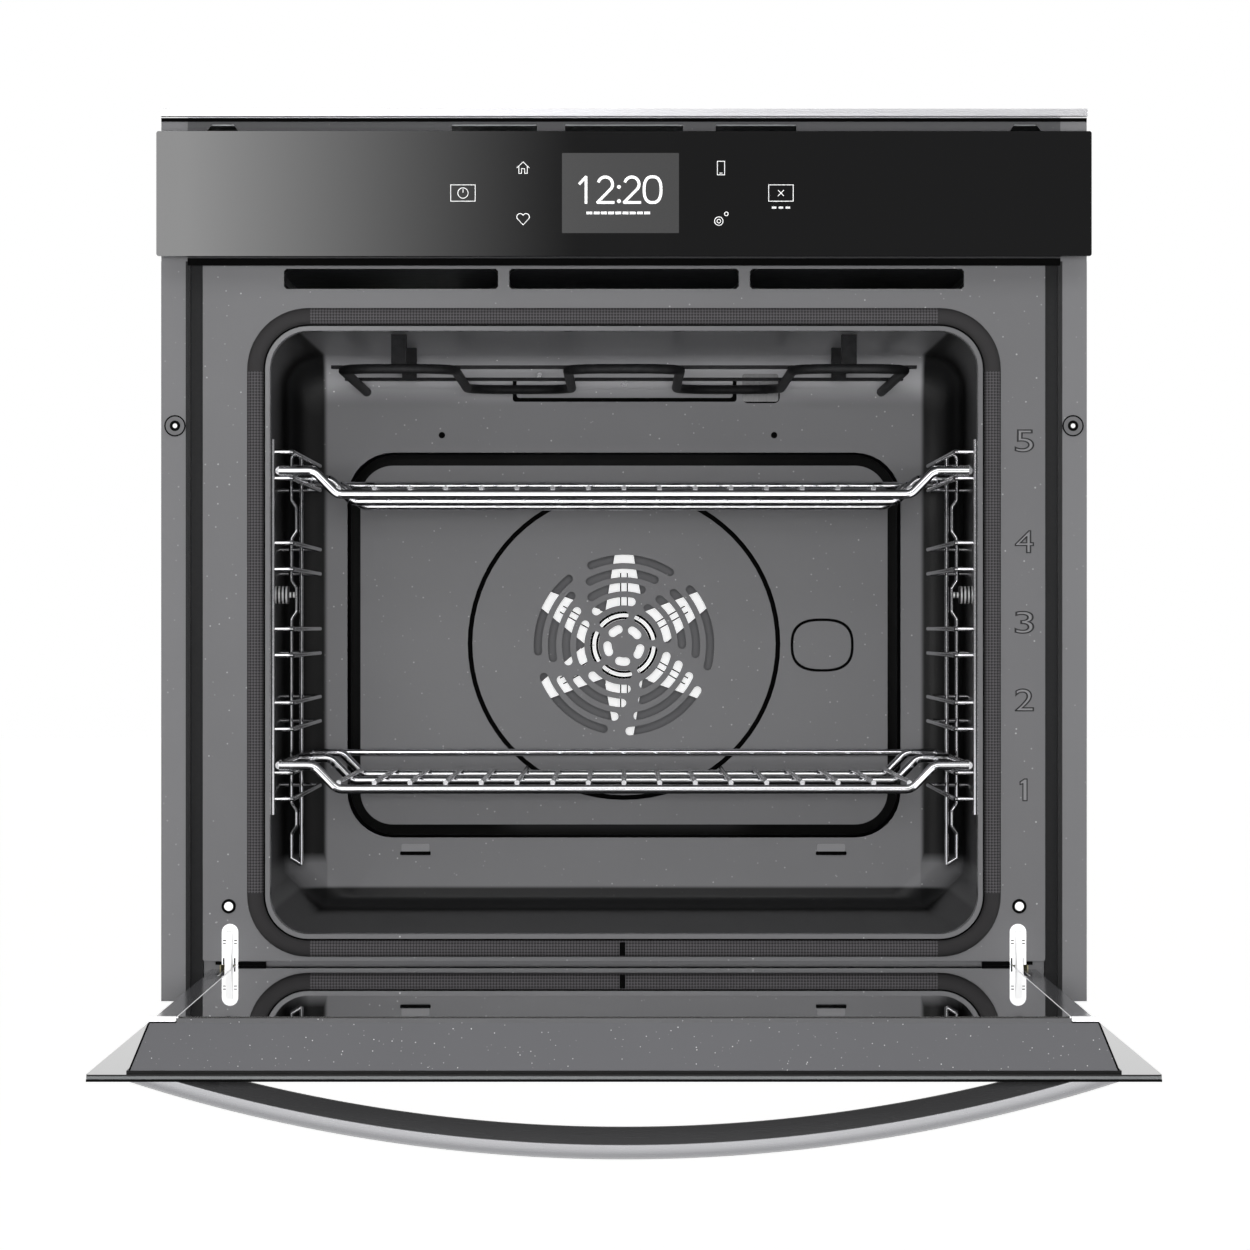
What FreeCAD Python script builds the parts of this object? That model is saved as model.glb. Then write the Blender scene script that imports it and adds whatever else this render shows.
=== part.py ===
import FreeCAD, Part
import math
import os
import Sketcher

# A built-in wall oven, 60 cm class, with its drop-down door lying open.
# Frame: X across the front, Y into the cabinet, Z up, millimetres. The origin is the middle of the
# cabinet's front plane (Y = 0) at the height of the oven's underside.

os.makedirs("parts", exist_ok=True)
doc = FreeCAD.newDocument("WallOven")
sheet = doc.addObject("Spreadsheet::Sheet", "Sizes")
Vector = FreeCAD.Vector


class Measure:
    """A length that carries both its number and the sheet formula that gives it."""

    def __init__(self, number, text):
        self.number = float(number)
        self.text = text

    def joined(self, sign, other, number):
        return Measure(number, f"({self.text} {sign} {measure(other).text})")

    def __add__(self, other):
        return self.joined("+", other, self.number + float(other))

    def __sub__(self, other):
        return self.joined("-", other, self.number - float(other))

    def __mul__(self, other):
        return self.joined("*", other, self.number * float(other))

    def __truediv__(self, other):
        return self.joined("/", other, self.number / float(other))

    def __radd__(self, other):
        return measure(other) + self

    def __rsub__(self, other):
        return measure(other) - self

    def __rmul__(self, other):
        return measure(other) * self

    def __neg__(self):
        return measure(0) - self

    def __float__(self):
        return self.number


def measure(value):
    """A Measure as it is, or a plain number made into one."""
    return value if isinstance(value, Measure) else Measure(value, repr(float(value)))


def size(alias, value, note):
    """Write one driving size to the sheet and give it back as a Measure."""
    size.row += 1
    sheet.set(f"A{size.row}", note)
    sheet.set(f"B{size.row}", str(value))
    sheet.setAlias(f"B{size.row}", alias)
    return Measure(value, f"Sizes.{alias}")


size.row = 0

# ---- overall -------------------------------------------------------------------------------------
body_width = size("body_width", 562, "width of the casing that enters the cabinet")
flange_wide = size("flange_wide", 17, "flange strip beside the casing")
oven_height = size("oven_height", 595, "height over base and top trim")
body_drop = size("body_drop", 9, "top of the casing under the top of the trim")
casing = size("casing", 1.0, "casing sheet")
base_sheet = size("base_sheet", 1.2, "base pan sheet")
rear_space = size("rear_space", 42.8, "space behind the fan motor")
body_half = body_width / 2
oven_half = body_half + flange_wide
body_height = oven_height - body_drop

# ---- control panel -------------------------------------------------------------------------------
panel_stand = size("panel_stand", 38, "front of the glass ahead of the cabinet front")
panel_height = size("panel_height", 79.6, "height of the control glass")
panel_drop = size("panel_drop", 17, "control glass under the top of the trim")
panel_step = size("panel_step", 1.9, "lower edge of the control glass above the front frame")
panel_gap = size("panel_gap", 3.2, "gap between the closed door and the control glass")
glass_thick = size("glass_thick", 4.0, "outer glass and control glass")
housing_inset = size("housing_inset", 8, "panel housing inside the edge of its glass at each end")
housing_lip = size("housing_lip", 2, "panel housing inside the glass above and below")
housing_wall = size("housing_wall", 2, "panel housing wall")
carrier_thick = size("carrier_thick", 2, "upper cross-member sheet")
trim_thick = size("trim_thick", 4.6, "top trim height")
trim_reach = size("trim_reach", 10, "top trim ahead of the cabinet front")
shadow_gap = size("shadow_gap", 0.6, "neck between cross-member and top trim")
display_wide = size("display_wide", 78, "display module width")
display_tall = size("display_tall", 55, "display module height")
display_deep = size("display_deep", 8, "display module depth")
board_wide = size("board_wide", 300, "control board width")
board_tall = size("board_tall", 60, "control board height")
board_thick = size("board_thick", 1.6, "circuit board")
panel_high = oven_height - panel_drop
panel_low = panel_high - panel_height

# ---- front frame and flange ----------------------------------------------------------------------
frame_face = size("frame_face", 2, "front of the frame behind the cabinet front")
frame_sheet = size("frame_sheet", 1.5, "front frame sheet")
seal_wide = size("seal_wide", 9.4, "side seal between frame and casing, with the casing sheet")
frame_low = size("frame_low", 46.5, "lower edge of the front frame")
frame_return = size("frame_return", 8.5, "folded edge of the front frame")
flange_thick = size("flange_thick", 3, "flange strip")
flange_low = size("flange_low", 21, "lower end of the flange strips")
flange_leg = size("flange_leg", 14, "depth of the flange leg along the casing")
screw_inset = size("screw_inset", 9, "cabinet screws from the edge of the flange")
screw_height = size("screw_height", 391.5, "height of the cabinet screws")
screw_radius = size("screw_radius", 3.2, "bore of the cabinet screw grommets")
grommet_radius = size("grommet_radius", 6.75, "grommet head")
grommet_neck = size("grommet_neck", 5.2, "grommet neck in the flange")
seal_front = size("seal_front", 6, "side seal behind the cabinet front")
seal_thick = size("seal_thick", 3, "side seal")
vent_drop = size("vent_drop", 16.5, "lower edge of the air outlets under the top of the frame")
vent_tall = size("vent_tall", 13, "height of the air outlets")
vent_wide = size("vent_wide", 148, "width of the middle air outlet")
vent_side = size("vent_side", 138, "width of each side air outlet")
vent_web = size("vent_web", 7.2, "web between two air outlets")
frame_half = body_half - seal_wide
frame_high = panel_low - panel_step
frame_back = frame_face + frame_sheet
vent_low = frame_high - vent_drop
vent_high = vent_low + vent_tall

# ---- cavity --------------------------------------------------------------------------------------
frame_border = size("frame_border", 43.3, "front frame beside the cavity mouth")
frame_head = size("frame_head", 43.5, "front frame above the cavity mouth")
mouth_low = size("mouth_low", 64, "lower edge of the cavity mouth")
mouth_corner = size("mouth_corner", 25, "corner radius of the cavity mouth")
collar_wide = size("collar_wide", 3.9, "face of the collar round the mouth")
collar_sheet = size("collar_sheet", 1.5, "collar tube wall")
collar_deep = size("collar_deep", 12, "collar tube behind the frame face")
collar_face = size("collar_face", 1.2, "collar ring ahead of the frame face")
gasket_wide = size("gasket_wide", 10.8, "door gasket width")
seal_gap = size("seal_gap", 0.3, "clearance of the closed door to the gasket")
cavity_swell = size("cavity_swell", 14.7, "cavity wider than its mouth at each side")
cavity_rise = size("cavity_rise", 4, "cavity taller than its mouth, above and below")
cavity_depth = size("cavity_depth", 390, "cavity back wall behind the cabinet front")
cavity_sheet = size("cavity_sheet", 1.2, "cavity sheet")
cavity_bevel = size("cavity_bevel", 26, "sloping lower corner of the cavity")
insulation_thick = size("insulation_thick", 24, "insulation at the sides and back")
duct_under = size("duct_under", 5, "top of the insulation under the air outlets")
insulation_low = size("insulation_low", 35, "underside of the insulation")
insulation_front = size("insulation_front", 14, "front of the insulation")
mouth_half = frame_half - frame_border
mouth_high = frame_high - frame_head
cavity_half = mouth_half + cavity_swell
cavity_low = mouth_low - cavity_rise
cavity_high = mouth_high + cavity_rise
wall_out = cavity_half + cavity_sheet
wall_back = cavity_depth + cavity_sheet
insulation_top = vent_low - duct_under

# ---- fan and elements ----------------------------------------------------------------------------
fan_drop = size("fan_drop", 9.5, "convection fan's axis under the middle of the cavity")
chamber_inset = size("chamber_inset", 44, "fan chamber inside the cavity's side wall")
chamber_clear = size("chamber_clear", 120, "cavity taller than the fan chamber")
chamber_corner = size("chamber_corner", 33, "corner radius of the fan chamber")
chamber_deep = size("chamber_deep", 44, "depth of the fan chamber")
cover_gap = size("cover_gap", 9.5, "air gap round the fan cover")
louvre_outer = size("louvre_outer", 62, "middle radius of the outermost louvre ring")
louvre_pitch = size("louvre_pitch", 10.15, "pitch of the louvre rings")
louvre_wide = size("louvre_wide", 6, "louvre width")
wheel_radius = size("wheel_radius", 68, "fan wheel tip radius")
shaft_radius = size("shaft_radius", 4, "fan shaft")
shaft_play = size("shaft_play", 0.05, "radial running clearance of a shaft")
motor_radius = size("motor_radius", 38, "fan motor")
motor_length = size("motor_length", 44, "fan motor length")
element_radius = size("element_radius", 3.2, "heating element tube")
element_inset = size("element_inset", 58, "outermost run of the flat elements from the side wall")
ring_radius = size("ring_radius", 92, "ring element")
sleeve_radius = size("sleeve_radius", 4, "sleeve round each cold end of the ring element")
broil_drop = size("broil_drop", 26, "broil element under the ceiling")
impeller_radius = size("impeller_radius", 28, "cooling blower impeller")
impeller_length = size("impeller_length", 220, "cooling blower impeller length")
blower_play = size("blower_play", 6, "air space round the blower impeller")
spindle_radius = size("spindle_radius", 3, "blower shaft")
fan_height = (cavity_low + cavity_high) / 2 - fan_drop
chamber_half = cavity_half - chamber_inset
chamber_tall = cavity_high - cavity_low - chamber_clear
chamber_low = fan_height - chamber_tall / 2
chamber_high = fan_height + chamber_tall / 2
chamber_back = wall_back + chamber_deep
motor_front = chamber_back + insulation_thick
body_depth = motor_front + motor_length + rear_space
leg_x = cavity_half - element_inset
broil_height = cavity_high - broil_drop

# ---- shelves -------------------------------------------------------------------------------------
ladder_wire = size("ladder_wire", 1.5, "radius of the shelf support wire")
runner_step = size("runner_step", 8.7, "runner wires inside the rack's rail")
ladder_front = size("ladder_front", 21, "front cross wire of the shelf supports")
ladder_back = size("ladder_back", 322, "rear cross wire of the shelf supports")
runner_pitch = size("runner_pitch", 17.1, "distance between the two wires of one shelf level")
top_level = size("top_level", 98.5, "highest runner under the ceiling")
bottom_level = size("bottom_level", 90.4, "lowest runner above the floor")
rail_wire = size("rail_wire", 2.5, "radius of the rack's rail wire")
cross_wire = size("cross_wire", 3.0, "radius of the rack's cross bars")
grid_wire = size("grid_wire", 1.6, "radius of the rack's grid wires")
mouth_play = size("mouth_play", 2.3, "rack inside the cavity mouth at each side")
rack_front = size("rack_front", 19, "front bar of the racks")
rack_depth = size("rack_depth", 352, "rack depth")
rack_drop = size("rack_drop", 15.3, "drop of the rack's grid under its rail")
rack_play = size("rack_play", 0.3, "clearance between a rack and its runners")
rack_half = mouth_half - mouth_play - rail_wire
runner_half = rack_half - runner_step

# ---- door, lying open ----------------------------------------------------------------------------
hinge_y = size("hinge_y", -13, "hinge axis ahead of the cabinet front")
hinge_z = size("hinge_z", 35.2, "height of the hinge axis")
door_front = size("door_front", 25, "outer face of the door from the hinge axis")
door_back = size("door_back", 9, "inner face of the door from the hinge axis")
door_below = size("door_below", 23.2, "lower edge of the outer glass below the hinge axis")
pan_below = size("pan_below", 21.2, "lower edge of the door pan below the hinge axis")
inner_thick = size("inner_thick", 3.4, "inner door glass")
pan_sheet = size("pan_sheet", 1.0, "door pan sheet")
pan_inset = size("pan_inset", 15, "door pan inside the casing's side at the inner glass")
pan_flare = size("pan_flare", 10, "how far the pan's sides slope outwards")
pan_top_flare = size("pan_top_flare", 16, "how far the pan's upper end slopes outwards")
pan_margin = size("pan_margin", 11, "pan inside the upper edge of the outer glass")
pan_border = size("pan_border", 16, "pan beside the inner door glass")
window_border = size("window_border", 25, "inner glass beside the window")
window_rim = size("window_rim", 22, "rim between pan end and window")
arm_thick = size("arm_thick", 4, "hinge arm")
arm_slot = size("arm_slot", 7.6, "slot for the hinge arm in the door pan")
arm_clear = size("arm_clear", 0.2, "slot for the hinge arm beside the inner glass")
channel_wide = size("channel_wide", 15, "hinge channel width")
channel_long = size("channel_long", 155, "hinge channel length")
channel_sheet = size("channel_sheet", 1.2, "hinge channel sheet")
pin_radius = size("pin_radius", 3, "hinge pin")
handle_reach = size("handle_reach", 47.7, "handle's greatest distance from the outer glass")
handle_radius = size("handle_radius", 900, "bow radius of the handle")
handle_thick = size("handle_thick", 18.5, "handle section, square to the door")
handle_wide = size("handle_wide", 24, "handle section, along the door")
handle_inset = size("handle_inset", 45, "handle axis from the door's upper edge")
handle_screw_inset = size("handle_screw_inset", 36, "handle screws from the door's side edge")
pan_half = body_half - pan_inset
inner_half = pan_half - pan_border
window_half = inner_half - window_border
arm_half = inner_half + arm_clear + arm_slot / 2
doc.recompute()

nodes = []


def node(part):
    """Mark an object as one of the oven's pieces; its Label names the piece."""
    nodes.append(part)
    return part


def bind(part, **paths):
    """Tie properties to the sheet; a double underscore stands for a dot."""
    for path, value in paths.items():
        part.setExpression(path.replace("__", "."), measure(value).text)


def block(label, x, y, z):
    """A box between pairs of measures along X, Y and Z."""
    part = doc.addObject("Part::Box", label)
    bind(part, Placement__Base__x=x[0], Placement__Base__y=y[0], Placement__Base__z=z[0])
    bind(part, Length=measure(x[1]) - x[0], Width=measure(y[1]) - y[0], Height=measure(z[1]) - z[0])
    return part


TURNS = {
    "X": FreeCAD.Rotation(Vector(0, 1, 0), 90),
    "Y": FreeCAD.Rotation(Vector(1, 0, 0), -90),
    "Z": FreeCAD.Rotation(),
}


def rod(label, axis, radius, start, length):
    """A cylinder that leaves its start point along +X, +Y or +Z."""
    part = doc.addObject("Part::Cylinder", label)
    part.Placement = FreeCAD.Placement(Vector(), TURNS[axis])
    bind(part, Placement__Base__x=start[0], Placement__Base__y=start[1], Placement__Base__z=start[2])
    bind(part, Radius=radius, Height=length)
    return part


def fuse(label, *shapes):
    part = doc.addObject("Part::MultiFuse", label)
    part.Shapes = list(shapes)
    return part


def cut(label, base, *tools):
    part = doc.addObject("Part::Cut", label)
    part.Base = base
    part.Tool = tools[0] if len(tools) == 1 else fuse(label + "_tools", *tools)
    return part


def group(label, *shapes):
    """Separate solids that make up one named piece or a set of like pieces."""
    part = doc.addObject("Part::Compound", label)
    part.Links = list(shapes)
    return part


def mirrored(label, source):
    """The same piece on the other side of the centre plane."""
    part = doc.addObject("Part::Mirroring", label)
    part.Source = source
    part.Normal = Vector(1, 0, 0)
    return part


def pair(label, source):
    return group(label, source, mirrored(label + "_other", source))


def shaped(label, shape):
    """A piece whose shape is worked out with Part's own functions."""
    part = doc.addObject("Part::Feature", label)
    part.Shape = shape
    return part


def hold(sketch, kind, *where):
    """Add a constraint; its last entry is the value, tied to the sheet."""
    value = measure(where[-1])
    if kind != "Radius" and abs(value.number) < 1e-9:
        across = -2 if kind == "DistanceX" else -1
        sketch.addConstraint(Sketcher.Constraint("PointOnObject", where[2], where[3], across))
        return
    index = sketch.addConstraint(Sketcher.Constraint(kind, *where[:-1], value.number))
    sketch.setExpression(f"Constraints[{index}]", value.text)


def rounded(left, right, low, high, radius):
    """A rounded rectangle for a sketch, its four sides and its radius tied to the sheet."""

    def draw(sketch):
        first = sketch.GeometryCount
        west, east, south, north, bend = (float(value) for value in (left, right, low, high, radius))
        middles = [(east - bend, north - bend), (west + bend, north - bend),
                   (west + bend, south + bend), (east - bend, south + bend)]
        for quarter, (across, up) in enumerate(middles):
            circle = Part.Circle(Vector(across, up, 0), Vector(0, 0, 1), bend)
            start = quarter * math.pi / 2
            sketch.addGeometry(Part.ArcOfCircle(circle, start, start + math.pi / 2))
        for quarter in range(4):
            here = sketch.Geometry[first + quarter].EndPoint
            there = sketch.Geometry[first + (quarter + 1) % 4].StartPoint
            sketch.addGeometry(Part.LineSegment(here, there))
        for quarter in range(4):
            line = first + 4 + quarter
            after = first + (quarter + 1) % 4
            sketch.addConstraint(Sketcher.Constraint("Tangent", first + quarter, 2, line, 1))
            sketch.addConstraint(Sketcher.Constraint("Tangent", line, 2, after, 1))
            sketch.addConstraint(Sketcher.Constraint("Vertical" if quarter % 2 else "Horizontal", line))
        for quarter in range(1, 4):
            sketch.addConstraint(Sketcher.Constraint("Equal", first, first + quarter))
        hold(sketch, "Radius", first, radius)
        hold(sketch, "DistanceX", -1, 1, first + 5, 1, left)
        hold(sketch, "DistanceX", -1, 1, first + 7, 1, right)
        hold(sketch, "DistanceY", -1, 1, first + 4, 1, high)
        hold(sketch, "DistanceY", -1, 1, first + 6, 1, low)

    return draw


def ring(across, up, radius):
    """A circle for a sketch."""

    def draw(sketch):
        circle = Part.Circle(Vector(float(across), float(up), 0), Vector(0, 0, 1), float(radius))
        index = sketch.addGeometry(circle)
        hold(sketch, "Radius", index, radius)
        hold(sketch, "DistanceX", -1, 1, index, 3, across)
        hold(sketch, "DistanceY", -1, 1, index, 3, up)

    return draw


def outline(*points):
    """A closed outline of straight sides for a sketch, each corner tied to the sheet."""

    def draw(sketch):
        first = sketch.GeometryCount
        corners = [Vector(float(across), float(up), 0) for across, up in points]
        for index, corner in enumerate(corners):
            sketch.addGeometry(Part.LineSegment(corner, corners[(index + 1) % len(corners)]))
        for index, (across, up) in enumerate(points):
            line = first + index
            after = first + (index + 1) % len(points)
            sketch.addConstraint(Sketcher.Constraint("Coincident", line, 2, after, 1))
            hold(sketch, "DistanceX", -1, 1, line, 1, across)
            hold(sketch, "DistanceY", -1, 1, line, 1, up)

    return draw


def add_sketch(body, plane, offset, drawings):
    """A sketch on one of the body's own origin planes, moved along the plane's normal."""
    support = next(item for item in body.Origin.OriginFeatures if item.Role == plane)
    sketch = body.newObject("Sketcher::SketchObject", body.Label + "_sketch")
    sketch.AttachmentSupport = [(support, "")]
    sketch.MapMode = "FlatFace"
    bind(sketch, AttachmentOffset__Base__z=offset)
    for draw in drawings:
        draw(sketch)
    return sketch


def add_pad(body, plane, offset, thick, *drawings):
    """Pad closed outlines: XZ pads run towards -Y, YZ pads towards +X, XY pads towards +Z."""
    pad = body.newObject("PartDesign::Pad", body.Label + "_pad")
    pad.Profile = add_sketch(body, plane, offset, drawings)
    bind(pad, Length=thick)
    body.Tip = pad
    return pad


def front_plate(label, back, thick, *drawings):
    """A body padded from the plane Y = back towards the front."""
    body = doc.addObject("PartDesign::Body", label)
    add_pad(body, "XZ_Plane", -measure(back), thick, *drawings)
    return body


def flat_plate(label, low, thick, *drawings):
    """A body padded upwards from the plane Z = low."""
    body = doc.addObject("PartDesign::Body", label)
    add_pad(body, "XY_Plane", low, thick, *drawings)
    return body


def add_pocket(body, back, depth, *drawings):
    """Cut outlines out of a body, from the plane Y = back towards the front."""
    doc.recompute()
    before = body.Shape.Volume
    pocket = body.newObject("PartDesign::Pocket", body.Label + "_pocket")
    pocket.Profile = add_sketch(body, "XZ_Plane", -measure(back), drawings)
    bind(pocket, Length=depth)
    pocket.Reversed = True
    body.Tip = pocket
    doc.recompute()
    if body.Shape.Volume >= before:
        raise ValueError(f"{body.Label}: the pocket cuts nothing")
    return pocket


def bent_wire(points, bend, radius):
    """Round wire along straight runs that are joined by arcs of the radius bend."""
    corners = [Vector(*(float(value) for value in point)) for point in points]
    edges = []
    here = corners[0]
    for before, corner, after in zip(corners, corners[1:], corners[2:]):
        back = (before - corner).normalize()
        ahead = (after - corner).normalize()
        half = back.getAngle(ahead) / 2
        reach = bend / math.tan(half)
        start = corner + back * reach
        end = corner + ahead * reach
        inward = (back + ahead).normalize()
        middle = corner + inward * (bend / math.sin(half) - bend)
        edges.append(Part.LineSegment(here, start).toShape())
        edges.append(Part.Arc(start, middle, end).toShape())
        here = end
    edges.append(Part.LineSegment(here, corners[-1]).toShape())
    path = Part.Wire(edges)
    direction = corners[1] - corners[0]
    section = Part.Wire(Part.makeCircle(float(radius), corners[0], direction))
    return path.makePipeShell([section], True, False)


def straight_wire(start, end, radius):
    start = Vector(*(float(value) for value in start))
    end = Vector(*(float(value) for value in end))
    return Part.makeCylinder(float(radius), (end - start).Length, start, end - start)


def weld(shapes):
    """Fuse wires into one piece."""
    return shapes[0].fuse(shapes[1:]).removeSplitter()


# ---- casing: base pan with its beams and front wall, sides, top, back ----------------------------
pan_plate = block("base_plate", (-body_half + casing, body_half - casing), (0, body_depth - casing),
                  (0, base_sheet))
beams = [
    block(f"base_beam_{number}", (-body_half + casing, body_half - casing), (place, place + 30),
          (base_sheet, insulation_low))
    for number, place in enumerate((insulation_front + 6, body_depth - 130))
]
node(fuse("base_pan", pan_plate, *beams))


def side_panel():
    whole = block("side_sheet", (body_half - casing, body_half), (0, body_depth), (0, body_height))
    notch = block("side_notch", (body_half - 2 * casing, body_half + casing), (-1, flange_leg),
                  (-1, flange_low))
    slots = [
        block(f"side_slot_{number}", (body_half - 2 * casing, body_half + casing),
              (body_depth - 60 - 14 * number, body_depth - 54 - 14 * number),
              (body_height - 80, body_height - 30))
        for number in range(8)
    ]
    return cut("side_panel", whole, notch, *slots)


node(pair("side_panels", side_panel()))

intake = [
    block(f"intake_{number}", (-90 + 20 * number, -80 + 20 * number), (365, 425),
          (body_height - 2 * casing, body_height + 1))
    for number in range(10)
]
top_sheet = block("top_sheet", (-body_half + casing, body_half - casing), (0, body_depth - casing),
                  (body_height - casing, body_height))
node(cut("top_panel", top_sheet, *intake))

gland_x = size("gland_x", 190, "cable gland from the centre")
gland_z = size("gland_z", 530, "height of the cable gland")
gland_radius = size("gland_radius", 9, "cable gland body")
gland_bore = size("gland_bore", 4, "cable gland bore")
rear_slots = [
    rounded(-70 - 14 * number, -64 - 14 * number, body_height - 100, body_height - 50, 2.9)
    for number in range(8)
]
motor_vent = ring(0, fan_height, motor_radius - 6)
node(front_plate("rear_panel", body_depth, casing,
                 rounded(-body_half + casing, body_half - casing, base_sheet, body_height - casing, 1),
                 ring(gland_x, gland_z, gland_radius), motor_vent, *rear_slots))

# ---- front carrier, top trim and flange ----------------------------------------------------------
carrier_high = oven_height - trim_thick - shadow_gap
slot_low = panel_high + 2.8
slot_high = panel_high + 7.9
notch_half = body_half - 22.5
notches = [
    outline((side * (notch_half - 10.5), slot_low), (side * (notch_half + 10.5), slot_low),
            (side * (notch_half + 6.8), slot_high), (side * (notch_half - 6.8), slot_high))
    for side in (-1, 1)
]
carrier_slots = [
    rounded(left, right, slot_low, slot_high, 1)
    for left, right in ((-111, -56), (-38, 38), (59, 111))
]
connector_half = board_wide / 2
node(front_plate("upper_crossmember", 0, carrier_thick,
                 rounded(-body_half, body_half, frame_high + 0.5, carrier_high, 0.5),
                 rounded(-connector_half, connector_half, panel_low + 12, panel_high - 12, 6),
                 *carrier_slots, *notches))

trim_bar = block("trim_bar", (-oven_half, oven_half), (-trim_reach, 0),
                 (oven_height - trim_thick, oven_height))
trim_neck = block("trim_neck", (-body_half, body_half), (-carrier_thick, 0),
                  (carrier_high, oven_height - trim_thick))
node(fuse("top_trim", trim_bar, trim_neck))

screw_x = oven_half - screw_inset


def flange_strip():
    strip = block("flange_face", (body_half, oven_half), (-flange_thick, 0), (flange_low, panel_low - 1))
    leg = block("flange_leg", (body_half, body_half + casing), (0, flange_leg), (flange_low, panel_low - 1))
    hole = rod("flange_hole", "Y", grommet_neck, (screw_x, -flange_thick - 1, screw_height),
               flange_thick + 2)
    return cut("flange_trim", fuse("flange_angle", strip, leg), hole)


node(pair("flange_trims", flange_strip()))


def grommet():
    head = rod("grommet_head", "Y", grommet_radius, (screw_x, -flange_thick - 1.5, screw_height), 1.5)
    neck = rod("grommet_neck_rod", "Y", grommet_neck, (screw_x, -flange_thick, screw_height),
               flange_thick)
    bore = rod("grommet_bore", "Y", screw_radius, (screw_x, -flange_thick - 2, screw_height),
               flange_thick + 3)
    return cut("grommet", fuse("grommet_body", head, neck), bore)


node(pair("flange_grommets", grommet()))
node(pair("side_seals", block("side_seal", (frame_half, body_half - casing),
                              (seal_front, seal_front + seal_thick), (frame_low, frame_high))))

# ---- front frame: one sheet with the mouth, three air outlets and two hinge slots ----------------
collar_half = mouth_half + collar_sheet
mid_half = vent_wide / 2
vent_round = vent_tall / 2 - 0.1
side_start = mid_half + vent_web
frame_screw_x = arm_half + 0.5
frame_screw_z = frame_low + 35.5
hinge_slot_top = frame_low + 24.1
frame = front_plate(
    "front_frame", frame_back, frame_sheet,
    rounded(-frame_half, frame_half, frame_low, frame_high, 1.5),
    rounded(-collar_half, collar_half, mouth_low - collar_sheet, mouth_high + collar_sheet,
            mouth_corner + collar_sheet),
    rounded(-mid_half, mid_half, vent_low, vent_high, vent_round),
    rounded(side_start, side_start + vent_side, vent_low, vent_high, vent_round),
    rounded(-side_start - vent_side, -side_start, vent_low, vent_high, vent_round),
    ring(frame_screw_x, frame_screw_z, 2.2), ring(-frame_screw_x, frame_screw_z, 2.2))
slot_half = 5.2
hinge_slots = [
    rounded(side * arm_half - slot_half, side * arm_half + slot_half, frame_low - 12, hinge_slot_top,
            slot_half - 0.1)
    for side in (-1, 1)
]
add_pocket(frame, frame_back, frame_sheet, *hinge_slots)
add_pad(frame, "XZ_Plane", -(frame_back + frame_return), frame_return + 0.5,
        rounded(frame_half - frame_sheet, frame_half, frame_low + 2, frame_high - 2, 0.5),
        rounded(-frame_half, frame_sheet - frame_half, frame_low + 2, frame_high - 2, 0.5))
node(frame)

collar = front_plate(
    "cavity_collar", frame_face, collar_face,
    rounded(-mouth_half - collar_wide, mouth_half + collar_wide, mouth_low - collar_wide,
            mouth_high + collar_wide, mouth_corner + collar_wide),
    rounded(-mouth_half, mouth_half, mouth_low, mouth_high, mouth_corner))
add_pad(collar, "XZ_Plane", -(frame_face + collar_deep), collar_deep,
        rounded(-collar_half, collar_half, mouth_low - collar_sheet, mouth_high + collar_sheet,
                mouth_corner + collar_sheet),
        rounded(-mouth_half, mouth_half, mouth_low, mouth_high, mouth_corner))
node(collar)

gasket_in = collar_wide
gasket_out = collar_wide + gasket_wide
door_inner_closed = hinge_y + door_back
node(front_plate(
    "door_gasket", frame_face, frame_face - door_inner_closed - seal_gap,
    rounded(-mouth_half - gasket_out, mouth_half + gasket_out, mouth_low - gasket_out,
            mouth_high + gasket_out, mouth_corner + gasket_out),
    rounded(-mouth_half - gasket_in, mouth_half + gasket_in, mouth_low - gasket_in,
            mouth_high + gasket_in, mouth_corner + gasket_in)))

# ---- control panel: glass, housing, display and board --------------------------------------------
panel_face = -panel_stand
panel_back = panel_face + glass_thick
node(front_plate("control_glass", panel_back, glass_thick,
                 rounded(-oven_half, oven_half, panel_low, panel_high, 1.5)))
housing_half = oven_half - housing_inset
housing_low = panel_low + housing_lip
housing_high = panel_high - housing_lip
shell = block("housing_shell", (-housing_half, housing_half), (panel_back, -carrier_thick),
              (housing_low, housing_high))
hollow = block("housing_hollow", (housing_wall - housing_half, housing_half - housing_wall),
               (panel_back - 1, -carrier_thick - housing_wall),
               (housing_low + housing_wall, housing_high - housing_wall))
node(cut("control_housing", shell, hollow))
display_middle = (panel_low + panel_high) / 2
display_back = panel_back + display_deep
node(block("display_module", (-display_wide / 2 - 2, display_wide / 2 - 2), (panel_back, display_back),
           (display_middle - display_tall / 2, display_middle + display_tall / 2)))
board_front = display_back + 2
board_back = board_front + board_thick
board = block("control_board_sheet", (-board_wide / 2, board_wide / 2), (board_front, board_back),
              (display_middle - board_tall / 2, display_middle + board_tall / 2))
header = block("board_header", (-20, 20), (display_back, board_front),
               (display_middle - 4, display_middle + 4))
posts = [
    rod(f"board_post_{number}", "Y", 3, (side * (board_wide / 2 - 8), board_back,
        display_middle + rise * (board_tall / 2 - 8)), -carrier_thick - housing_wall - board_back)
    for number, (side, rise) in enumerate(((-1, -1), (1, -1), (-1, 1), (1, 1)))
]
chips = [
    block(f"board_chip_{number}", (place, place + 18), (board_back, board_back + 4),
          (display_middle - 12, display_middle + 6))
    for number, place in enumerate((-100, -50, 30, 80))
]
node(fuse("control_board", board, header, *posts, *chips))

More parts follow.
